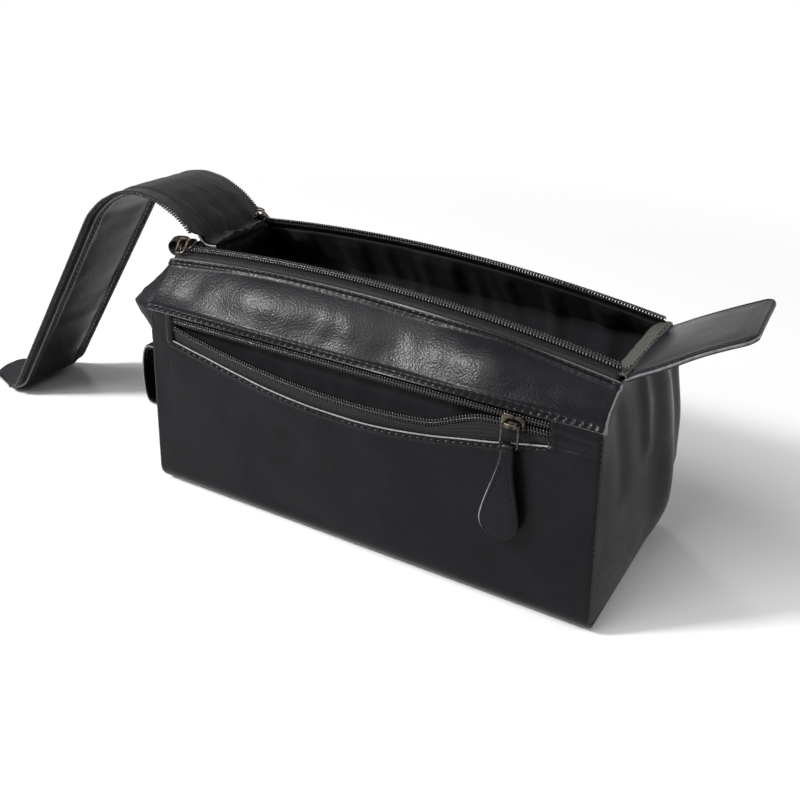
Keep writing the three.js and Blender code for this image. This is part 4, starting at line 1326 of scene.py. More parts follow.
def make_binding():
    """A folded strip of grosgrain over the right end's top edge."""
    low, high = (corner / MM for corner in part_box("right_end_binding"))
    x = (low.x + high.x) / 2
    across, up = Vector((0.94, 0, 0.34)), Vector((-0.34, 0, 0.94))
    line = []
    for y in spaced(low.y - 2.0, high.y + 2.0, 0.9):
        pinch = bell(y - low.y, 10.0) + 0.3
        sag = (0.3 + 0.8 * pinch) * soft_noise(y, 0, 0, 4.0, 2.0)
        sag -= 1.4 * hump((y - low.y) / (high.y - low.y))
        line.append(Vector((x + (0.3 + 0.6 * pinch) * soft_noise(y, 3, 0, 5.0, 4.0), y, high.z + sag)))
    frames = [(origin, across, up, run) for origin, run in zip(line, run_lengths(line))]
    outline = [
        (-12.0, -8.6), (-11.6, -6.2), (-9.9, -3.2), (-6.8, -0.9), (-3.6, 0.5), (-1.2, 0.9), (0.4, 0.9),
        (1.6, 0.8), (2.8, 0.4), (3.4, -0.4), (3.3, -1.6), (2.7, -1.5), (2.4, -0.5), (0.4, 0.1), (-1.2, 0.1),
        (-3.4, -0.3), (-6.4, -1.6), (-9.3, -3.9), (-10.9, -6.5), (-11.3, -8.6),
    ]
    bm = swept_ring(frames, lambda k: outline)
    put(make_piece("right_end_binding_weave", bm, "binding"), "bag", "zip_tape", "right_end_binding")
    places = [(origin + across * 1.9 + up * 0.75, ALONG_Y, up) for origin in line[2:-2:4]]
    sew("right_end_binding_stitches", places, "bag", "zip_tape", thick=0.6)


# Front pocket


def make_pocket():
    """The pocket's tapes and chains, which run on under the leather past the mouth, and its pouch."""
    depth, under = CHAIN_PLANE, 0.9
    low, high = MOUTH_LEFT - under, MOUTH_RIGHT + under
    upper_back = POCKET_ZIP + CHAIN_GAP / 2 + COIL_REACH
    columns = spaced(low, high, 1.5)

    def upper_tape(station, share):
        path = [
            (depth + 1.25, upper_back - 1.2),
            (depth + 0.7, upper_back + 0.2),
            (depth, upper_back + 1.1),
            (depth + 0.3, SHOULDER + 1.0),
        ]
        y, z = curve_through(path, share)
        return Vector((drawn_in(station, SHOULDER), y, z))

    def weave(station, share, p):
        return 0.15 * soft_noise(p.x, 0, p.z, 6.0, 6.0)

    def lower_tape(station, share):
        lip = lip_height(station)
        back = lower_chain_height(station) - COIL_REACH
        face = front_face(station, lip)
        path = [
            (face + 2.3, back + 1.2),
            (face + 1.7, back - 0.2),
            (face + 1.0, back - 1.1),
            (face + 1.3, lip),
            (face + LEATHER + 0.75, lip - 5.0),
        ]
        y, z = curve_through(path, share)
        return Vector((drawn_in(station, SHOULDER), y, z))

    for name, base, side, rows in (
        ("upper", upper_tape, -1, spaced(0, 3, 0.3)),
        ("lower", lower_tape, 1, spaced(0, 4, 0.25)),
    ):
        surface, node = Surface(base, side, weave, 0.01), f"pocket_{name}_tape"
        lay(f"{node}_weave", surface, columns, rows, "tape", TAPE_WALL, "zip_tape", node, offset=0.0)

    def upper_place(s):
        back = Vector((drawn_in(low + s, SHOULDER), depth, upper_back))
        return back, Vector((0, 0, -1)), Vector((0, -1, 0))

    def lower_place(s):
        station = low + s
        back = lower_chain_height(station) - COIL_REACH
        point = Vector((drawn_in(station, SHOULDER), depth - mouth_bulge(station), back))
        return point, Vector((0, 0, 1)), Vector((0, -1, 0))

    for name, place in (("upper", upper_place), ("lower", lower_place)):
        put(make_coil(f"pocket_{name}_chain", place, high - low), "bag", "zip_coil", f"pocket_{name}_coil")

    def pouch(station, share):
        deep = math.sin(math.pi * clamp(mouth_share(station), 0.01, 0.99)) ** 0.4
        back = -HALF_DEPTH + LEATHER + CLEARANCE + LINING + (POCKET_ROOM + LINING / 2) * deep
        x = drawn_in(station, SHOULDER)

        def face(z):
            return front_face(station, z) + LEATHER + CLEARANCE + LINING / 2

        if share < 1:
            z = lerp(lip_height(station) - 5.3, POCKET_FLOOR, share)
            return Vector((x, face(z), z))
        if share > 2:
            return Vector((x, back, lerp(POCKET_FLOOR, SHOULDER - 2.6, share - 2)))
        turn = math.pi * (share - 1)
        front = face(POCKET_FLOOR)
        radius = (back - front) / 2
        return Vector((x, front + radius * (1 - math.cos(turn)), POCKET_FLOOR - radius * math.sin(turn)))

    def pouch_relief(station, share, p):
        calm = ease((3.0 - share) * 8) * ease((share - 2.1) * 4)
        return 0.5 * hanging_folds(p.x, p.z, 9.0) * calm

    surface = Surface(pouch, 1, pouch_relief, 0.01)
    rows = spaced(0, 1, 0.1) + spaced(1, 2, 0.125)[1:] + spaced(2, 3, 0.04)[1:]
    columns = spaced(low, high, 2.0)
    piece = lay(
        "pocket_pouch_cloth", surface, columns, rows,
        "lining", CLOTH_WALL, "lining", "pocket_lining", offset=0.0,
    )
    run = run_lengths([pouch(0.0, share) for share in rows])[-1]
    wide = run_lengths([pouch(station, 2.5) for station in columns])[-1]


# Sliders, bails and pull

SLIDER_LENGTH = 11.0
SLIDER_HALF_WIDTH = 3.75
SLIDER_TAIL = 3.0
SLIDER_ROOM = 3.4
PLATE = 1.1
PLATE_TOP = SLIDER_ROOM / 2 + PLATE
WIRE_RADIUS = 0.6
BAR_HEIGHT = PLATE_TOP + 3.2 - CLEARANCE - WIRE_RADIUS
# Width and length of the wire bails
OPENING_BAIL = (6.4, 9.0)
POCKET_BAIL = (9.0, 12.0)


def round_off(bm, edges, width):
    bmesh.ops.bevel(bm, geom=edges, offset=width * MM, segments=2, profile=0.5, affect="EDGES", material=-1)
    return bm


def plate_bmesh(low, high):
    """One plate of a slider: a Y-shaped outline, raised and with its edges rounded."""
    front = SLIDER_LENGTH / 2
    half = [
        (-front, 1.6), (-front + 0.6, 2.6), (-1.5, SLIDER_TAIL), (0.8, 3.6), (2.6, SLIDER_HALF_WIDTH),
        (4.4, 3.5), (5.2, 2.6), (front, 1.4),
    ]
    outline = half + [(x, -y) for x, y in reversed(half)]
    bm = bmesh.new()
    verts = [bm.verts.new((x * MM, y * MM, low * MM)) for x, y in outline]
    bmesh.ops.contextual_create(bm, geom=verts)
    pulled = bmesh.ops.extrude_face_region(bm, geom=bm.faces[:])["geom"]
    moved = [g for g in pulled if isinstance(g, bmesh.types.BMVert)]
    bmesh.ops.translate(bm, verts=moved, vec=(0, 0, (high - low) * MM))
    bmesh.ops.recalc_face_normals(bm, faces=bm.faces[:])
    rims = [e for e in bm.edges if abs(e.verts[0].co.z - e.verts[1].co.z) < 1e-6]
    return round_off(bm, rims, 0.3)


def block_bmesh(low, high):
    """A block between two corners, with its edges rounded."""
    bm = bmesh.new()
    bmesh.ops.create_cube(bm, size=1.0)
    for vert in bm.verts:
        for k in range(3):
            vert.co[k] = lerp(low[k], high[k], vert.co[k] + 0.5) * MM
    return round_off(bm, bm.edges[:], 0.25)


def lug_bmesh():
    """The bridge on top of a slider that holds the bail's bar: a flat wire bent over it."""
    rise, half = 3.6, 2.6
    path = [
        (-1.1 * half, -0.4), (-1.15 * half, rise * 0.5), (-0.9 * half, rise - 0.3), (0, rise),
        (0.9 * half, rise - 0.3), (1.15 * half, rise * 0.5), (1.1 * half, -0.4),
    ]
    frames = []
    for share in spaced(0, len(path) - 1, 0.25):
        x, z = curve_through(path, share)
        x2, z2 = curve_through(path, min(share + 0.05, len(path) - 1))
        x1, z1 = curve_through(path, max(share - 0.05, 0))
        along = Vector((x2 - x1, 0, z2 - z1)).normalized()
        frames.append((Vector((x, 0, z + PLATE_TOP)), ALONG_Y, upright(along), share))
    ring = [
        (-1.1, -0.2), (-0.9, -0.4), (0.9, -0.4), (1.1, -0.2),
        (1.1, 0.2), (0.8, 0.42), (-0.8, 0.42), (-1.1, 0.2),
    ]
    return swept_ring(frames, lambda k: ring)


def slider_bmesh():
    """A slider: two plates, the blade between them, their side walls and the lug."""
    lift = SLIDER_ROOM / 2
    upper = plate_bmesh(lift, lift + PLATE)
    lower = plate_bmesh(-lift - PLATE, -lift)
    blade = block_bmesh((1.2, -0.6, -lift - 0.4), (5.0, 0.6, lift + 0.4))
    sides = []
    for side in (-1, 1):
        for base in (-lift - 0.2, lift - 0.9):
            sides.append(block_bmesh((-4.6, side * 2.7 - 0.35, base), (1.2, side * 2.7 + 0.35, base + 1.1)))
    return join_bmesh(upper, lower, blade, lug_bmesh(), *sides)


def bail_bmesh(width, length):
    """A bail's wire: a rounded loop that hangs towards -y from its bar."""
    w, r = width / 2 - WIRE_RADIUS, 1.5
    bottom = 2 * WIRE_RADIUS - length
    corners = [(w - r, -r, 0), (-w + r, -r, 90), (-w + r, bottom + r, 180), (w - r, bottom + r, 270)]
    points = []
    for x, y, start in corners:
        for k in range(7):
            angle = math.radians(start + 15 * k)
            points.append(Vector((x + r * math.cos(angle), y + r * math.sin(angle), 0)))
    return tube("bail", points, WIRE_RADIUS, cyclic=True, sides=3)


def fitting(name, bm, matrix, body, node):
    """A metal fitting, carried from its own place to its place on the bag."""
    bmesh.ops.transform(bm, matrix=matrix, verts=bm.verts[:])
    put(make_piece(name, bm, "metal"), body, "zip_metal", node)


def make_sliders():
    x = OPENING_LEFT + 6.2
    slope = math.asin((ARC_X - x) / ARC_RADIUS)
    droop = math.radians(20)
    bar = Matrix.Translation((0, 0, BAR_HEIGHT * MM))
    for side, name in SIDES:
        origin = Vector((x, side * OPENING_HALF_WIDTH, opening_height(x)))
        lean = Matrix.Rotation(-side * CHAIN_TILT * 0.8, 4, "X")
        base = Matrix.Translation(origin * MM) @ (Matrix.Rotation(-slope, 4, "Y") @ lean)
        fitting(f"{name}_slider_body", slider_bmesh(), base, f"{name}_slider", f"{name}_slider")
        lift = bar @ Matrix.Rotation(droop if side < 0 else math.pi - droop, 4, "X")
        bail = f"{name}_bail"
        fitting(f"{bail}_wire", bail_bmesh(*OPENING_BAIL), base @ lift, bail, f"{name}_slider_bail")
    origin = Vector((SLIDER_STATION, CHAIN_PLANE, POCKET_ZIP))
    base = Matrix.Translation(origin * MM) @ Matrix.Rotation(math.pi / 2, 4, "X")
    turned_round = base @ Matrix.Rotation(math.pi, 4, "Z")
    fitting("pocket_slider_body", slider_bmesh(), turned_round, "pocket_slider", "pocket_slider")
    fitting("pocket_bail_wire", bail_bmesh(*POCKET_BAIL), base @ bar, "pocket_bail", "pocket_bail")


PULL_LENGTH = 47.0


def pull_half_width(d):
    """Half the pull's width at a distance from its eye: a narrow neck that swells to a round end."""
    round_end = 9.8
    centre = PULL_LENGTH - round_end
    if d > centre:
        return math.sqrt(max(round_end**2 - (d - centre) ** 2, 0.0))
    share = clamp((d - 5.0) / (centre - 5.0))
    return lerp(3.1, round_end, ease(share) * 0.55 + share * 0.45)


def make_pull():
    bar = Vector((SLIDER_STATION, CHAIN_PLANE - BAR_HEIGHT, POCKET_ZIP + 2 * WIRE_RADIUS - POCKET_BAIL[1]))
    swing = math.radians(2)
    down, out = Vector((-math.sin(swing), 0, -math.cos(swing))), Vector((0, -1, 0))
    across = Vector((math.cos(swing), 0, -math.sin(swing)))
    half = 1.1
    shares = [-1, -0.97, -0.9, -0.8, -0.7, -0.6, -0.4, -0.15, 0.15, 0.4, 0.6, 0.7, 0.8, 0.9, 0.97, 1]
    ds = [1.6, 2.2] + spaced(3.0, PULL_LENGTH - 1.5, 1.1) + [PULL_LENGTH - e for e in (1.0, 0.5, 0.15, 0.01)]

    def bow(d):
        return 1.0 * math.sin(math.pi * d / PULL_LENGTH)

    frames = [(bar + down * d + out * bow(d), across, out, d) for d in ds]

    def ring(k):
        d = frames[k][3]
        w = max(pull_half_width(d), 0.15)
        top, low = [], []
        for s in shares:
            inside = w * (1 - abs(s))
            rounding = corner_cut(inside, half)
            groove = 0.3 * bell(inside - 2.2, 0.45) if d > 9 else 0.0
            top.append((w * s, half - rounding - groove))
            low.append((w * s, -half + rounding))
        return top + list(reversed(low))[1:-1]

    # The pull's edge legs take the second material, the painted edge highlight.
    bm = swept_ring(frames, ring, (0, 1, 2 * len(shares) - 3))
    eye = bmesh.new()
    bmesh.ops.create_circle(eye, segments=10, radius=1.0)
    for vert in eye.verts:
        vert.co = Vector((vert.co.x * 3.0, vert.co.y * 0.55 + 1.75, 0)) * MM
    bmesh.ops.spin(
        eye, geom=eye.verts[:] + eye.edges[:], angle=2 * math.pi, steps=24, axis=(1, 0, 0), cent=(0, 0, 0),
        use_merge=True,
    )
    bmesh.ops.remove_doubles(eye, verts=eye.verts[:], dist=1e-6)
    bmesh.ops.recalc_face_normals(eye, faces=eye.faces[:])
    bmesh.ops.translate(eye, verts=eye.verts[:], vec=bar * MM)
    piece = make_piece("pull_leather", join_bmesh(bm, eye), "leather", rim="leather_edge")
    put(piece, "pocket_pull", "leather", "pocket_pull")
    line = [(d, max(pull_half_width(d) - 2.2, 0.3)) for d in spaced(8.0, PULL_LENGTH - 2.6, 0.5)]
    line += [(d, -w) for d, w in reversed(line)]
    points = [bar + down * d + across * w for d, w in line]
    places = []
    for leg, share in paces(run_lengths(points), 3.0):
        point = points[leg].lerp(points[leg + 1], share)
        lift = half - 0.25 + bow((point - bar).dot(down))
        places.append((point + out * lift, (points[leg + 1] - points[leg]).normalized(), out))
    sew("pull_stitches", places, "pocket_pull", "leather", length=2.0, thick=0.5, dip=0.0)


# Lid strip

LID_HALF = 22.0
LID_CLOTH_HALF = 20.8
LID_LENGTHS = 13
LID_TIP = 28.0
LID_FLANGE = OPENING_HALF_WIDTH - CHAIN_GAP / 2 - COIL_REACH
LID_STEP = 1.2


class LidLine:
    """The strip's middle line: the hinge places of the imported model, drawn smooth."""

    def __init__(self):
        hinges = [joint for joint in frame["joints"] if joint["name"].startswith("lid_bend")]
        hinges.sort(key=lambda joint: joint["name"])
        corners = [Vector(joint["pos_m"]) / MM for joint in hinges]
        slope = math.asin((ARC_X - corners[0].x) / ARC_RADIUS)
        root = corners[0] - Vector((math.cos(slope), 0, math.sin(slope))) * -8.6
        tip = corners[-1] + Vector((-LID_TIP, 0, 0))
        self.corners = [root, *corners, tip]
        self.marks = run_lengths(self.corners)
        self.length = self.marks[-1]
        raw = [self.raw(s) for s in spaced(0, self.length, 0.5)]
        reach = 13
        self.points = []
        for i in range(len(raw)):
            n = min(reach, i, len(raw) - 1 - i)
            window = raw[i - n : i + n + 1]
            weights = [1 - abs(k - n) / (n + 1) for k in range(len(window))]
            self.points.append(sum((p * w for p, w in zip(window, weights)), Vector()) / sum(weights))
        self.step = self.length / (len(raw) - 1)

    def raw(self, s):
        """The place at a length s on the straight legs from hinge to hinge."""
        for a, b, low, high in zip(self.corners, self.corners[1:], self.marks, self.marks[1:]):
            if s <= high:
                return a.lerp(b, (s - low) / (high - low))
        return self.corners[-1].copy()

    def point(self, s):
        t = clamp(s / self.step, 0, len(self.points) - 1.001)
        i = int(t)
        return self.points[i].lerp(self.points[i + 1], t - i)

    def frame(self, s):
        """The strip's middle at s, the way it runs there, and its leather side."""
        along = (self.point(s + 1.0) - self.point(s - 1.0)).normalized()
        return self.point(s), along, upright(along)


def lid_width(line, s, full):
    """Half width of the strip: straight, and drawn in to two round corners at its tip."""
    to_tip = line.length - s
    if to_tip > LID_TIP:
        return full
    narrow = full - 7.0 * ease((LID_TIP - to_tip) / 26.0)
    return max(narrow - corner_cut(to_tip, 7.5), 0.4)


# Outline of the lid's tapes: distance from the strip's middle, and height
LID_TAPE = [
    (18.5, -0.35), (20.5, -0.5), (22.5, -0.75), (24.5, -1.0), (26.4, -1.25), (27.2, -1.35),
    (27.2, -1.75), (26.2, -1.75), (24.5, -1.6), (22.5, -1.5), (20.5, -1.45), (18.5, -1.2),
]


def strip_points(distances):
    """Points across a strip, by their distance from its edges, from -1 side to +1 side."""
    return [(-1, d) for d in distances] + [(1, d) for d in reversed(distances)]


def make_lid():
    line = LidLine()
    marks = line.marks
    bodies = ["bag"] + [f"lid_{k:02d}" for k in range(1, LID_LENGTHS + 1)]
    middles = [0.0] + [(marks[k] + marks[k + 1]) / 2 for k in range(1, LID_LENGTHS)] + [line.length]
    edge_rows = [0.0, 0.15, 0.4, 0.8, 1.1, 1.4, 1.65, 1.9, 2.15, 2.4, 2.7, 3.1, 3.6, 4.6, 6.5, 10.0, 16.0]
    back_rows = [0.0, 0.4, 2.0, 8.0, 15.0]
    cloth_rows = [0.0, 0.3, 0.8, 1.5, 2.2, 3.0, 3.8] + spaced(4.6, 21.0, 0.8)
    # The coils begin a little way from the root, and the tapes reach past them at both ends
    coil_start, coil_end = marks[2] + 2.5, marks[LID_LENGTHS - 1] + 4.0
    tape_start, tape_end = coil_start - 5.0, marks[LID_LENGTHS] + 9.0
    leather_end = line.length - 0.4

    def leather_top(s, a, d):
        wave = 0.6 * soft_noise(s, a, 0, 24.0, 6.1) + 0.3 * soft_noise(s, a, 0, 10.0, 1.2)
        crown = 0.9 * (1 - (a / LID_HALF) ** 2)
        height = 1.5 + hem(d) + puckers(s, d) + (wave + crown) * ease(d / 6)
        point, _, out = line.frame(s)
        return min(height, (point.z - 0.05) / -out.z) if out.z < -0.3 else height

    def cloth_drop(s, a, d):
        root = 1 - ease((s - 10) / 50)
        streaks = max(soft_noise(s / 5, a, 0, 5.0, 3.3) + 0.15, 0)
        streaks += 0.6 * max(soft_noise(s / 4, a, 0, 2.6, 7.1), 0)
        gather = 1.9 * root * streaks + 1.2 * (1 - ease((s - 4) / 12)) * soft_noise(s, a, 0, 3.4, 5.0)
        rumple = 0.7 * soft_noise(s, a, 0, 17.0, 9.3) + 0.25 * streaks
        return -0.75 - max(0.9 * hump(a / 48 + 0.5) + gather + rumple, -0.3) * ease(d / 3)

    def along_strip(stations, across=ALONG_Y):
        frames = []
        for s in stations:
            point, _, out = line.frame(s)
            frames.append((point, across, out, s))
        return frames

    def strip(frames, full, top, low, wide_rows, thin_rows):
        """The strip's outline: its upper side by top(s, a, d) and its lower side by low(s, a, d)."""

        def ring(i):
            s = frames[i][3]
            w = lid_width(line, s, full)
            sides = []
            for height, rows in ((top, wide_rows), (low, thin_rows)):
                insides = [(side, min(d, w * 0.999)) for side, d in strip_points(rows)]
                sides.append([(side * (w - d), height(s, side * (w - d), d)) for side, d in insides])
            return sides[0] + sides[1][::-1]

        return ring

    for k in range(LID_LENGTHS):
        start, end = middles[k], middles[k + 1]
        hinge = marks[k + 1]
        reach = 0.96 * min(hinge - start, end - hinge, 7.0)
        bend = (bodies[k], bodies[k + 1], line.point(hinge - reach) * MM, line.point(hinge + reach) * MM)
        last = k == LID_LENGTHS - 1
        number = f"{k + 1:02d}"
        stations = spaced(start, leather_end if last else end, LID_STEP)
        if last:
            stations += [line.length - 0.2, line.length]
        frames = along_strip(stations)

        ring = strip(frames, LID_HALF, leather_top, lambda s, a, d: 0.1, edge_rows, back_rows)
        # The skin's cut edges take the second material, the painted edge highlight.
        cut_edges = (2 * len(edge_rows) - 1, 2 * len(edge_rows) + 2 * len(back_rows) - 1)
        bm = swept_ring(frames, ring, cut_edges)
        skin = make_piece(f"lid_skin_{number}", bm, "leather", rim="leather_edge")
        put(skin, bend, "leather", f"lid_leather_{number}", *(["lid_root"] if k == 0 else []))
        ring = strip(frames, LID_CLOTH_HALF, lambda s, a, d: -0.15, cloth_drop, back_rows, cloth_rows)
        cloth = make_piece(f"lid_cloth_{number}", swept_ring(frames, ring), "lining", rim="leather_edge")
        put(cloth, bend, "lining", f"lid_lining_{number}", *(["lid_root_lining"] if k == 0 else []))

        places = []
        pitch = stitch_pitch()
        n = math.ceil(start / pitch)
        while n * pitch < min(end, line.length - 4):
            s = n * pitch
            point, along, out = line.frame(s)
            for side in (-1, 1):
                a = side * (lid_width(line, s, LID_HALF) - HEM_STITCH)
                places.append((point + ALONG_Y * a + out * leather_top(s, a, HEM_STITCH), along, out))
            n += 1
        sew(f"lid_stitches_{number}", places, bend, "leather")

        tape_from, tape_to = max(start, tape_start), min(end, tape_end)
        if tape_to - tape_from < 0.5:
            continue
        coil_from, coil_to = max(start, coil_start), min(end, coil_end)
        for side, label in ((-1, "front"), (1, "rear")):
            frames = along_strip(spaced(tape_from, tape_to, LID_STEP), ALONG_Y * side)

            def tape_ring(i, frames=frames):
                s = frames[i][3]
                drawn = 1 - ease((s - tape_start) / 5.0) * ease((tape_end - s) / 13.0)
                return [(a - 0.85 * drawn * max(a - 18.5, 0), h + 0.55) for a, h in LID_TAPE]

            tape = make_piece(f"lid_{label}_tape_{number}", swept_ring(frames, tape_ring), "tape")
            put(tape, bend, "zip_tape")

            def place(t, side=side):
                point, _, out = line.frame(coil_from + t)
                return point + ALONG_Y * (side * LID_FLANGE) - out * 0.25, ALONG_Y * side, out

            if coil_to - coil_from >= 2.0:
                put(make_coil(f"lid_{label}_chain_{number}", place, coil_to - coil_from), bend, "zip_coil")


# Grab tab and carry loop


def strap_ring(half, rows, thick, middle=lambda a: 0.0):
    """Outline of a sewn strap: thick(e) is half its thickness at a distance e from its edge."""
    upper, lower = [], []
    for side, e in strip_points(rows):
        e = min(e, 0.999 * half)
        a = side * (half - e)
        upper.append((a, middle(a) + thick(e)))
        lower.append((a, middle(a) - thick(e)))
    return upper + lower[::-1]


def make_strap(name, frames, ring, rows, body, node):
    """A strap of leather whose edges carry the painted highlight: the outline's two legs that join its
    faces.
    """
    edges = (2 * len(rows) - 1, 4 * len(rows) - 1)
    piece = make_piece(name, swept_ring(frames, ring, edges), "leather", rim="leather_edge")
    put(piece, body, "leather", node)


def make_tab():
    """Grab tab: two layers of leather, sewn round their edge, that stand up from the right end."""
    length, base, tip, corner = 53.0, 33.0, 22.0, 6.0
    rise = math.radians(28)
    lean = 1.3 * math.sin(rise)
    origin = Vector((OPENING_RIGHT - END_SEAM + CLEARANCE + lean, 0, opening_height(OPENING_RIGHT) - 4.6))
    along, out = Vector((math.cos(rise), 0, math.sin(rise))), Vector((-math.sin(rise), 0, math.cos(rise)))

    def half_width(d):
        w = lerp(base, tip, d / length) - 1.2 * hump(d / length)
        return max(w - corner_cut(length - d, corner), 0.5)

    def rise_at(d, a):
        twist = 2.2 * (a / tip + 1) * (d / length) ** 1.5
        return 1.1 * math.sin(math.pi * d / length) + twist + 1.0 * soft_noise(d, a, 0, 30, 4) * ease(d / 15)

    rows = [0.0, 0.2, 0.5, 0.8, 1.1, 1.5, 1.9, 2.3, 2.7, 3.2, 3.9, 5.0, 6.5, 9.0, 12.0, 16.0, 20.0]
    ds = spaced(0.0, length - 1.2, 1.2) + [length - 0.8, length - 0.45, length - 0.15, length]
    frames = [(origin + along * d, ALONG_Y, out, d) for d in ds]

    def height(d, e):
        edge = min(e, length - d)
        thick = 1.3 + 0.35 * ease((edge - 4.5) / 6) - 0.45 * bell(edge - HEM_STITCH, 0.5)
        return thick - 0.75 * (1 - ease(edge / 0.9))

    def ring(k):
        d = frames[k][3]
        return strap_ring(half_width(d), rows, lambda e: height(d, e), lambda a: rise_at(d, a))

    make_strap("grab_tab_leather", frames, ring, rows, "grab_tab", "grab_tab")
    path = [(d, half_width(d) - HEM_STITCH) for d in spaced(4.0, length - HEM_STITCH, 0.6)]
    loop = [(d, -w) for d, w in path]
    loop += [(length - HEM_STITCH, a) for a in spaced(-path[-1][1], path[-1][1], 0.6)[1:-1]]
    loop += [(d, w) for d, w in reversed(path)]
    points = [origin + along * d + ALONG_Y * a for d, a in loop]
    for sign, name in ((1, "upper"), (-1, "lower")):
        places = []
        for leg, _ in paces(run_lengths(points), stitch_pitch()):
            d, a = loop[leg]
            point = points[leg] + out * (rise_at(d, a) + sign * height(d, HEM_STITCH))
            places.append((point, (points[leg + 1] - points[leg]).normalized(), out * sign))
        sew(f"grab_tab_{name}_stitches", places, "grab_tab", "leather")


def make_loop():
    """Carry loop: a strap of folded leather, bowed out from the left end near the front."""
    base = end_base(-1)
    width = 14.0
    middle_y = -HALF_DEPTH + 4.0 + width / 2
    # The loop's two seams lie at heights of 45 and 79 mm
    centre, half_height = (79.0 + 45.0) / 2, (79.0 - 45.0) / 2
    line = []
    for turn in spaced(-1, 1, 0.04):
        angle = math.pi / 2 * turn
        z = centre + half_height * math.sin(angle)
        bow = 9.0 * max(math.cos(angle), 0) ** 0.4
        wall = base(middle_y / HALF_DEPTH, z / END_ROWS_TOP).x
        line.append(Vector((wall - CLEARANCE - 1.0 - bow, middle_y, z)))
    run = run_lengths(line)
    frames = []
    for i, p in enumerate(line):
        a, b = line[max(i - 1, 0)], line[min(i + 1, len(line) - 1)]
        along = (b - a).normalized()
        frames.append((p, ALONG_Y, upright(along), run[i]))
    rows = [0.0, 0.2, 0.5, 1.0, 1.6, 2.0, 2.4, 3.0, 4.5, 6.5]

    def thick(e):
        return 0.9 - 0.5 * (1 - ease(e / 0.8)) - 0.25 * bell(e - 2.0, 0.4)

    outline = strap_ring(width / 2, rows, thick)
    make_strap("carry_loop_leather", frames, lambda k: outline, rows, "bag", "carry_loop")
    places = []
    for side in (-1, 1):
        for leg, _ in paces(run, 3.2):
            point, across, out, _ = frames[leg]
            ahead = (line[leg + 1] - line[leg]).normalized()
            places.append((point + across * (side * 5.0) + out * 0.8, ahead, out))
    sew("carry_loop_stitches", places, "bag", "leather", length=2.3, thick=0.5)


# Stage


def area_lamp(name, aim, direction, distance, size, radiance):
    """A square softbox that lights the point aim from a direction, all in metres."""
    lamp = bpy.data.lights.new(name, "AREA")
    lamp.shape = "RECTANGLE"
    lamp.size = size
    lamp.size_y = size
    lamp.energy = radiance * math.pi * lamp.size * lamp.size_y
    holder = linked(name, lamp)
    away = Vector(direction).normalized()
    holder.location = Vector(aim) + away * distance
    holder.rotation_euler = away.to_track_quat("Z", "Y").to_euler()


def seen_as_background(tree):
    """1 for rays from the camera or by way of a mirroring or clear surface, and 0 for light."""
    path = add_node(tree, "LightPath").outputs
    seen = path["Is Camera Ray"]
    for other in ("Is Transmission Ray", "Is Glossy Ray"):
        seen = add_node(tree, "Math", {0: seen, 1: path[other]}, operation="MAXIMUM").outputs[0]
    return seen


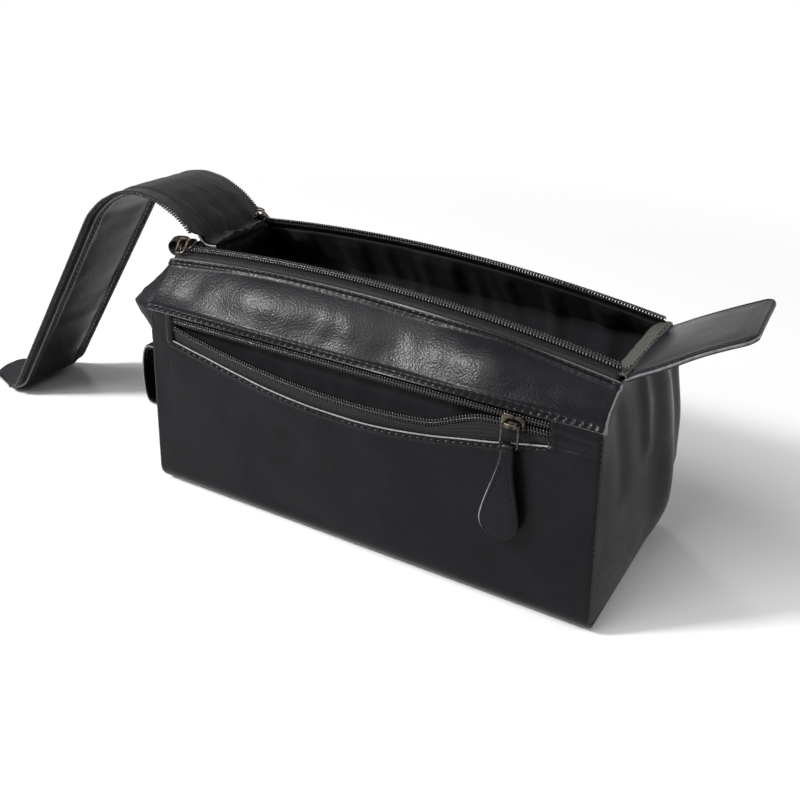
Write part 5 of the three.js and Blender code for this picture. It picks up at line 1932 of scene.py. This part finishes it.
def make_stage():
    look = settings()
    scene = bpy.context.scene
    scene.view_settings.view_transform = "Standard"
    bm = bmesh.new()
    bmesh.ops.create_grid(bm, x_segments=1, y_segments=1, size=6.0)
    bmesh.ops.translate(bm, verts=bm.verts[:], vec=(0, 0, -0.0002))
    mesh = bpy.data.meshes.new("floor")
    bm.to_mesh(mesh)
    bm.free()
    floor = linked("floor", mesh)
    # Painted board, matt: a plain white floor that keeps the bag's soft shadow and goes over
    # into the white background away from the bag
    material, tree, place = start_material("painted_board_matt")
    faint = add_node(tree, "TexNoise", {"Vector": place, "Scale": 3.0}).outputs[0]
    mix = {0: faint, 6: shade(look.floor_hex, 0.995), 7: shade(look.floor_hex, 1.0)}
    colour = add_node(tree, "Mix", mix, data_type="RGBA").outputs[2]
    paint = {"Base Color": colour, "Roughness": 0.9, "Specular IOR Level": 0.1}
    board = add_node(tree, "BsdfPrincipled", paint)
    away = add_node(tree, "VectorMath", {0: place}, operation="LENGTH").outputs["Value"]
    reach = {"Value": away, "From Min": 0.32, "From Max": 0.72, "To Min": 0.0, "To Max": 1.0}
    far = add_node(tree, "MapRange", reach).outputs[0]
    seen = seen_as_background(tree)
    share = add_node(tree, "Math", {0: far, 1: seen}, operation="MULTIPLY").outputs[0]
    plain_white = add_node(tree, "Emission", {"Color": (1, 1, 1, 1), "Strength": 1.0})
    shown = add_node(tree, "MixShader", {0: share, 1: board.outputs[0], 2: plain_white.outputs[0]})
    add_node(tree, "OutputMaterial", {"Surface": shown.outputs[0]})
    mesh.materials.append(material)

    world = bpy.data.worlds.new("studio")
    scene.world = world
    world.use_nodes = True
    tree = world.node_tree
    tree.nodes.clear()
    seen = seen_as_background(tree)
    light = {"Value": seen, "From Min": 0.0, "From Max": 1.0, "To Min": look.fill_light, "To Max": 1.0}
    strength = add_node(tree, "MapRange", light).outputs[0]
    back = add_node(tree, "Background", {"Color": (1, 1, 1, 1), "Strength": strength})
    add_node(tree, "OutputWorld", {"Surface": back.outputs[0]})

    key = bpy.data.lights.new("key_light", "SUN")
    key.energy = look.key_light
    key.angle = math.radians(45)
    holder = linked("key_light", key)
    holder.rotation_euler = Vector((-0.40, -0.62, 0.68)).to_track_quat("Z", "Y").to_euler()
    area_lamp("right_softbox", (0.1, 0, 0.1), (0.9, 0.3, 0.3), 1.1, 0.16, look.side_light)
    area_lamp("key_softbox", (0, -0.04, 0.12), (-0.635, -0.565, 0.527), 1.4, 0.17, look.shine_light)
    area_lamp("rear_softbox", (0, 0, 0.12), (-0.45, 0.45, 0.76), 1.3, 0.2, look.rear_light)
    area_lamp("front_softbox", (0, 0, 0.1), (0.35, -0.35, 0.87), 1.3, 0.5, look.front_light)

    # The camera that was fitted to the photographed body: its place and its three directions
    camera = bpy.data.cameras.new("camera")
    camera.lens = 44.119
    camera.sensor_width = 36.0
    camera.clip_start = 0.01
    holder = linked("camera", camera)
    right = Vector((0.86703377, 0.4974345, 0.02848449))
    up = Vector((-0.24966492, 0.38427233, 0.88882068))
    forward = Vector((-0.43118427, 0.77774912, -0.45736903))
    turn = Matrix((right, up, -forward)).transposed().to_4x4()
    holder.matrix_world = Matrix.Translation((0.215111, -0.396618, 0.293033)) @ turn
    scene.camera = holder


# Settings and operators


class ToiletryBagSettings(bpy.types.PropertyGroup):
    """Sizes and colours of the bag that a user would change"""

    leather_hex: bpy.props.StringProperty(
        name="Leather colour", description="sRGB hex colour of the coated leather", default="0d0d10"
    )
    # A light grey that paints the highlight of the leather's folded and cut edges.
    edge_hex: bpy.props.StringProperty(
        name="Edge colour", description="sRGB hex colour of the leather's edges and folds", default="76767a"
    )
    lining_hex: bpy.props.StringProperty(
        name="Lining colour", description="sRGB hex colour of the lining cloth", default="1e1e20"
    )
    tape_hex: bpy.props.StringProperty(
        name="Zip tape colour", description="sRGB hex colour of the zip tapes", default="111112"
    )
    coil_hex: bpy.props.StringProperty(
        name="Coil colour", description="sRGB hex colour of the zip coils", default="101010"
    )
    thread_hex: bpy.props.StringProperty(
        name="Thread colour", description="sRGB hex colour of the sewing thread", default="070708"
    )
    metal_hex: bpy.props.StringProperty(
        name="Metal colour", description="sRGB hex colour of the sliders and bails", default="2b2826"
    )
    floor_hex: bpy.props.StringProperty(
        name="Floor colour", description="sRGB hex colour of the floor", default="f8f8f8"
    )
    grain_size: bpy.props.FloatProperty(
        name="Grain size", description="Width of one grain of the leather", default=0.0009, unit="LENGTH"
    )
    stitch_pitch: bpy.props.FloatProperty(
        name="Stitch pitch", description="Length from stitch to stitch", default=0.0037, unit="LENGTH"
    )
    coil_pitch: bpy.props.FloatProperty(
        name="Coil pitch", description="Length from coil turn to coil turn", default=0.0015, unit="LENGTH"
    )
    key_light: bpy.props.FloatProperty(
        name="Key light", description="Strength of the broad soft light from the left front", default=2.0
    )
    shine_light: bpy.props.FloatProperty(
        name="Shine light", description="Radiance of the softbox that the leather mirrors", default=215.0
    )
    side_light: bpy.props.FloatProperty(
        name="Side light", description="Radiance of the softbox at the right end", default=34.0
    )
    rear_light: bpy.props.FloatProperty(
        name="Rear light", description="Radiance of the softbox above the rear", default=12.0
    )
    front_light: bpy.props.FloatProperty(
        name="Front light", description="Radiance of the softbox above the front", default=2.2
    )
    fill_light: bpy.props.FloatProperty(
        name="Fill light", description="Strength of the even light from all round", default=0.1
    )


class BAG_OT_stage(bpy.types.Operator):
    """Make the floor, the lamps, the even light and the camera"""

    bl_idname = "bag.stage"
    bl_label = "Stage"
    bl_options = {"REGISTER", "UNDO"}

    def execute(self, context):
        make_stage()
        return {"FINISHED"}


class BAG_OT_walls(bpy.types.Operator):
    """Make the body leather, the slanted bands and the two ends, with their seams"""

    bl_idname = "bag.walls"
    bl_label = "Leather walls"
    bl_options = {"REGISTER", "UNDO"}

    def execute(self, context):
        make_wrap()
        make_bands()
        make_ends()
        return {"FINISHED"}


class BAG_OT_linings(bpy.types.Operator):
    """Make the lining cloth of the main compartment"""

    bl_idname = "bag.linings"
    bl_label = "Linings"
    bl_options = {"REGISTER", "UNDO"}

    def execute(self, context):
        make_linings()
        return {"FINISHED"}


class BAG_OT_opening_zips(bpy.types.Operator):
    """Make the opening's tapes and coils, their curled ends, the root facing and the end binding"""

    bl_idname = "bag.opening_zips"
    bl_label = "Opening zips"
    bl_options = {"REGISTER", "UNDO"}

    def execute(self, context):
        make_opening_zips()
        make_tape_ends()
        make_root_facing()
        make_binding()
        return {"FINISHED"}


class BAG_OT_pocket(bpy.types.Operator):
    """Make the front pocket's tapes, coils and pouch"""

    bl_idname = "bag.pocket"
    bl_label = "Front pocket"
    bl_options = {"REGISTER", "UNDO"}

    def execute(self, context):
        make_pocket()
        return {"FINISHED"}


class BAG_OT_sliders(bpy.types.Operator):
    """Make the three sliders with their wire bails and the pocket's leather pull"""

    bl_idname = "bag.sliders"
    bl_label = "Sliders and pull"
    bl_options = {"REGISTER", "UNDO"}

    def execute(self, context):
        make_sliders()
        make_pull()
        return {"FINISHED"}


class BAG_OT_lid(bpy.types.Operator):
    """Make the lid strip: leather, lining, tapes, coils and stitches, one length per hinge"""

    bl_idname = "bag.lid"
    bl_label = "Lid strip"
    bl_options = {"REGISTER", "UNDO"}

    def execute(self, context):
        make_lid()
        return {"FINISHED"}


class BAG_OT_straps(bpy.types.Operator):
    """Make the grab tab at the right end and the carry loop at the left end"""

    bl_idname = "bag.straps"
    bl_label = "Grab tab and carry loop"
    bl_options = {"REGISTER", "UNDO"}

    def execute(self, context):
        make_tab()
        make_loop()
        return {"FINISHED"}


class BAG_OT_board(bpy.types.Operator):
    """Give the stiffener under the lining its board finish"""

    bl_idname = "bag.board"
    bl_label = "Stiffener"
    bl_options = {"REGISTER", "UNDO"}

    def execute(self, context):
        board = frame["nodes"]["bottom_board"]
        board.data.materials.clear()
        board.data.materials.append(look_of("board"))
        return {"FINISHED"}


OPERATORS = (
    BAG_OT_stage,
    BAG_OT_walls,
    BAG_OT_linings,
    BAG_OT_opening_zips,
    BAG_OT_pocket,
    BAG_OT_sliders,
    BAG_OT_lid,
    BAG_OT_straps,
    BAG_OT_board,
)


class BAG_PT_panel(bpy.types.Panel):
    """Lists the bag's settings and pieces"""

    bl_idname = "BAG_PT_panel"
    bl_label = "Toiletry bag"
    bl_space_type = "VIEW_3D"
    bl_region_type = "UI"
    bl_category = "Bag"

    def draw(self, context):
        look = settings()
        for name in look.__annotations__:
            self.layout.prop(look, name)
        for operator in OPERATORS:
            self.layout.operator(operator.bl_idname)


CLASSES = (ToiletryBagSettings, *OPERATORS, BAG_PT_panel)


def register():
    for cls in CLASSES:
        bpy.utils.register_class(cls)
    bpy.types.Scene.toiletry_bag = bpy.props.PointerProperty(type=ToiletryBagSettings)


def unregister():
    del bpy.types.Scene.toiletry_bag
    for cls in reversed(CLASSES):
        bpy.utils.unregister_class(cls)


def main():
    register()
    for operator in OPERATORS:
        group, name = operator.bl_idname.split(".")
        getattr(getattr(bpy.ops, group), name)()


if __name__ == "__main__":
    main()
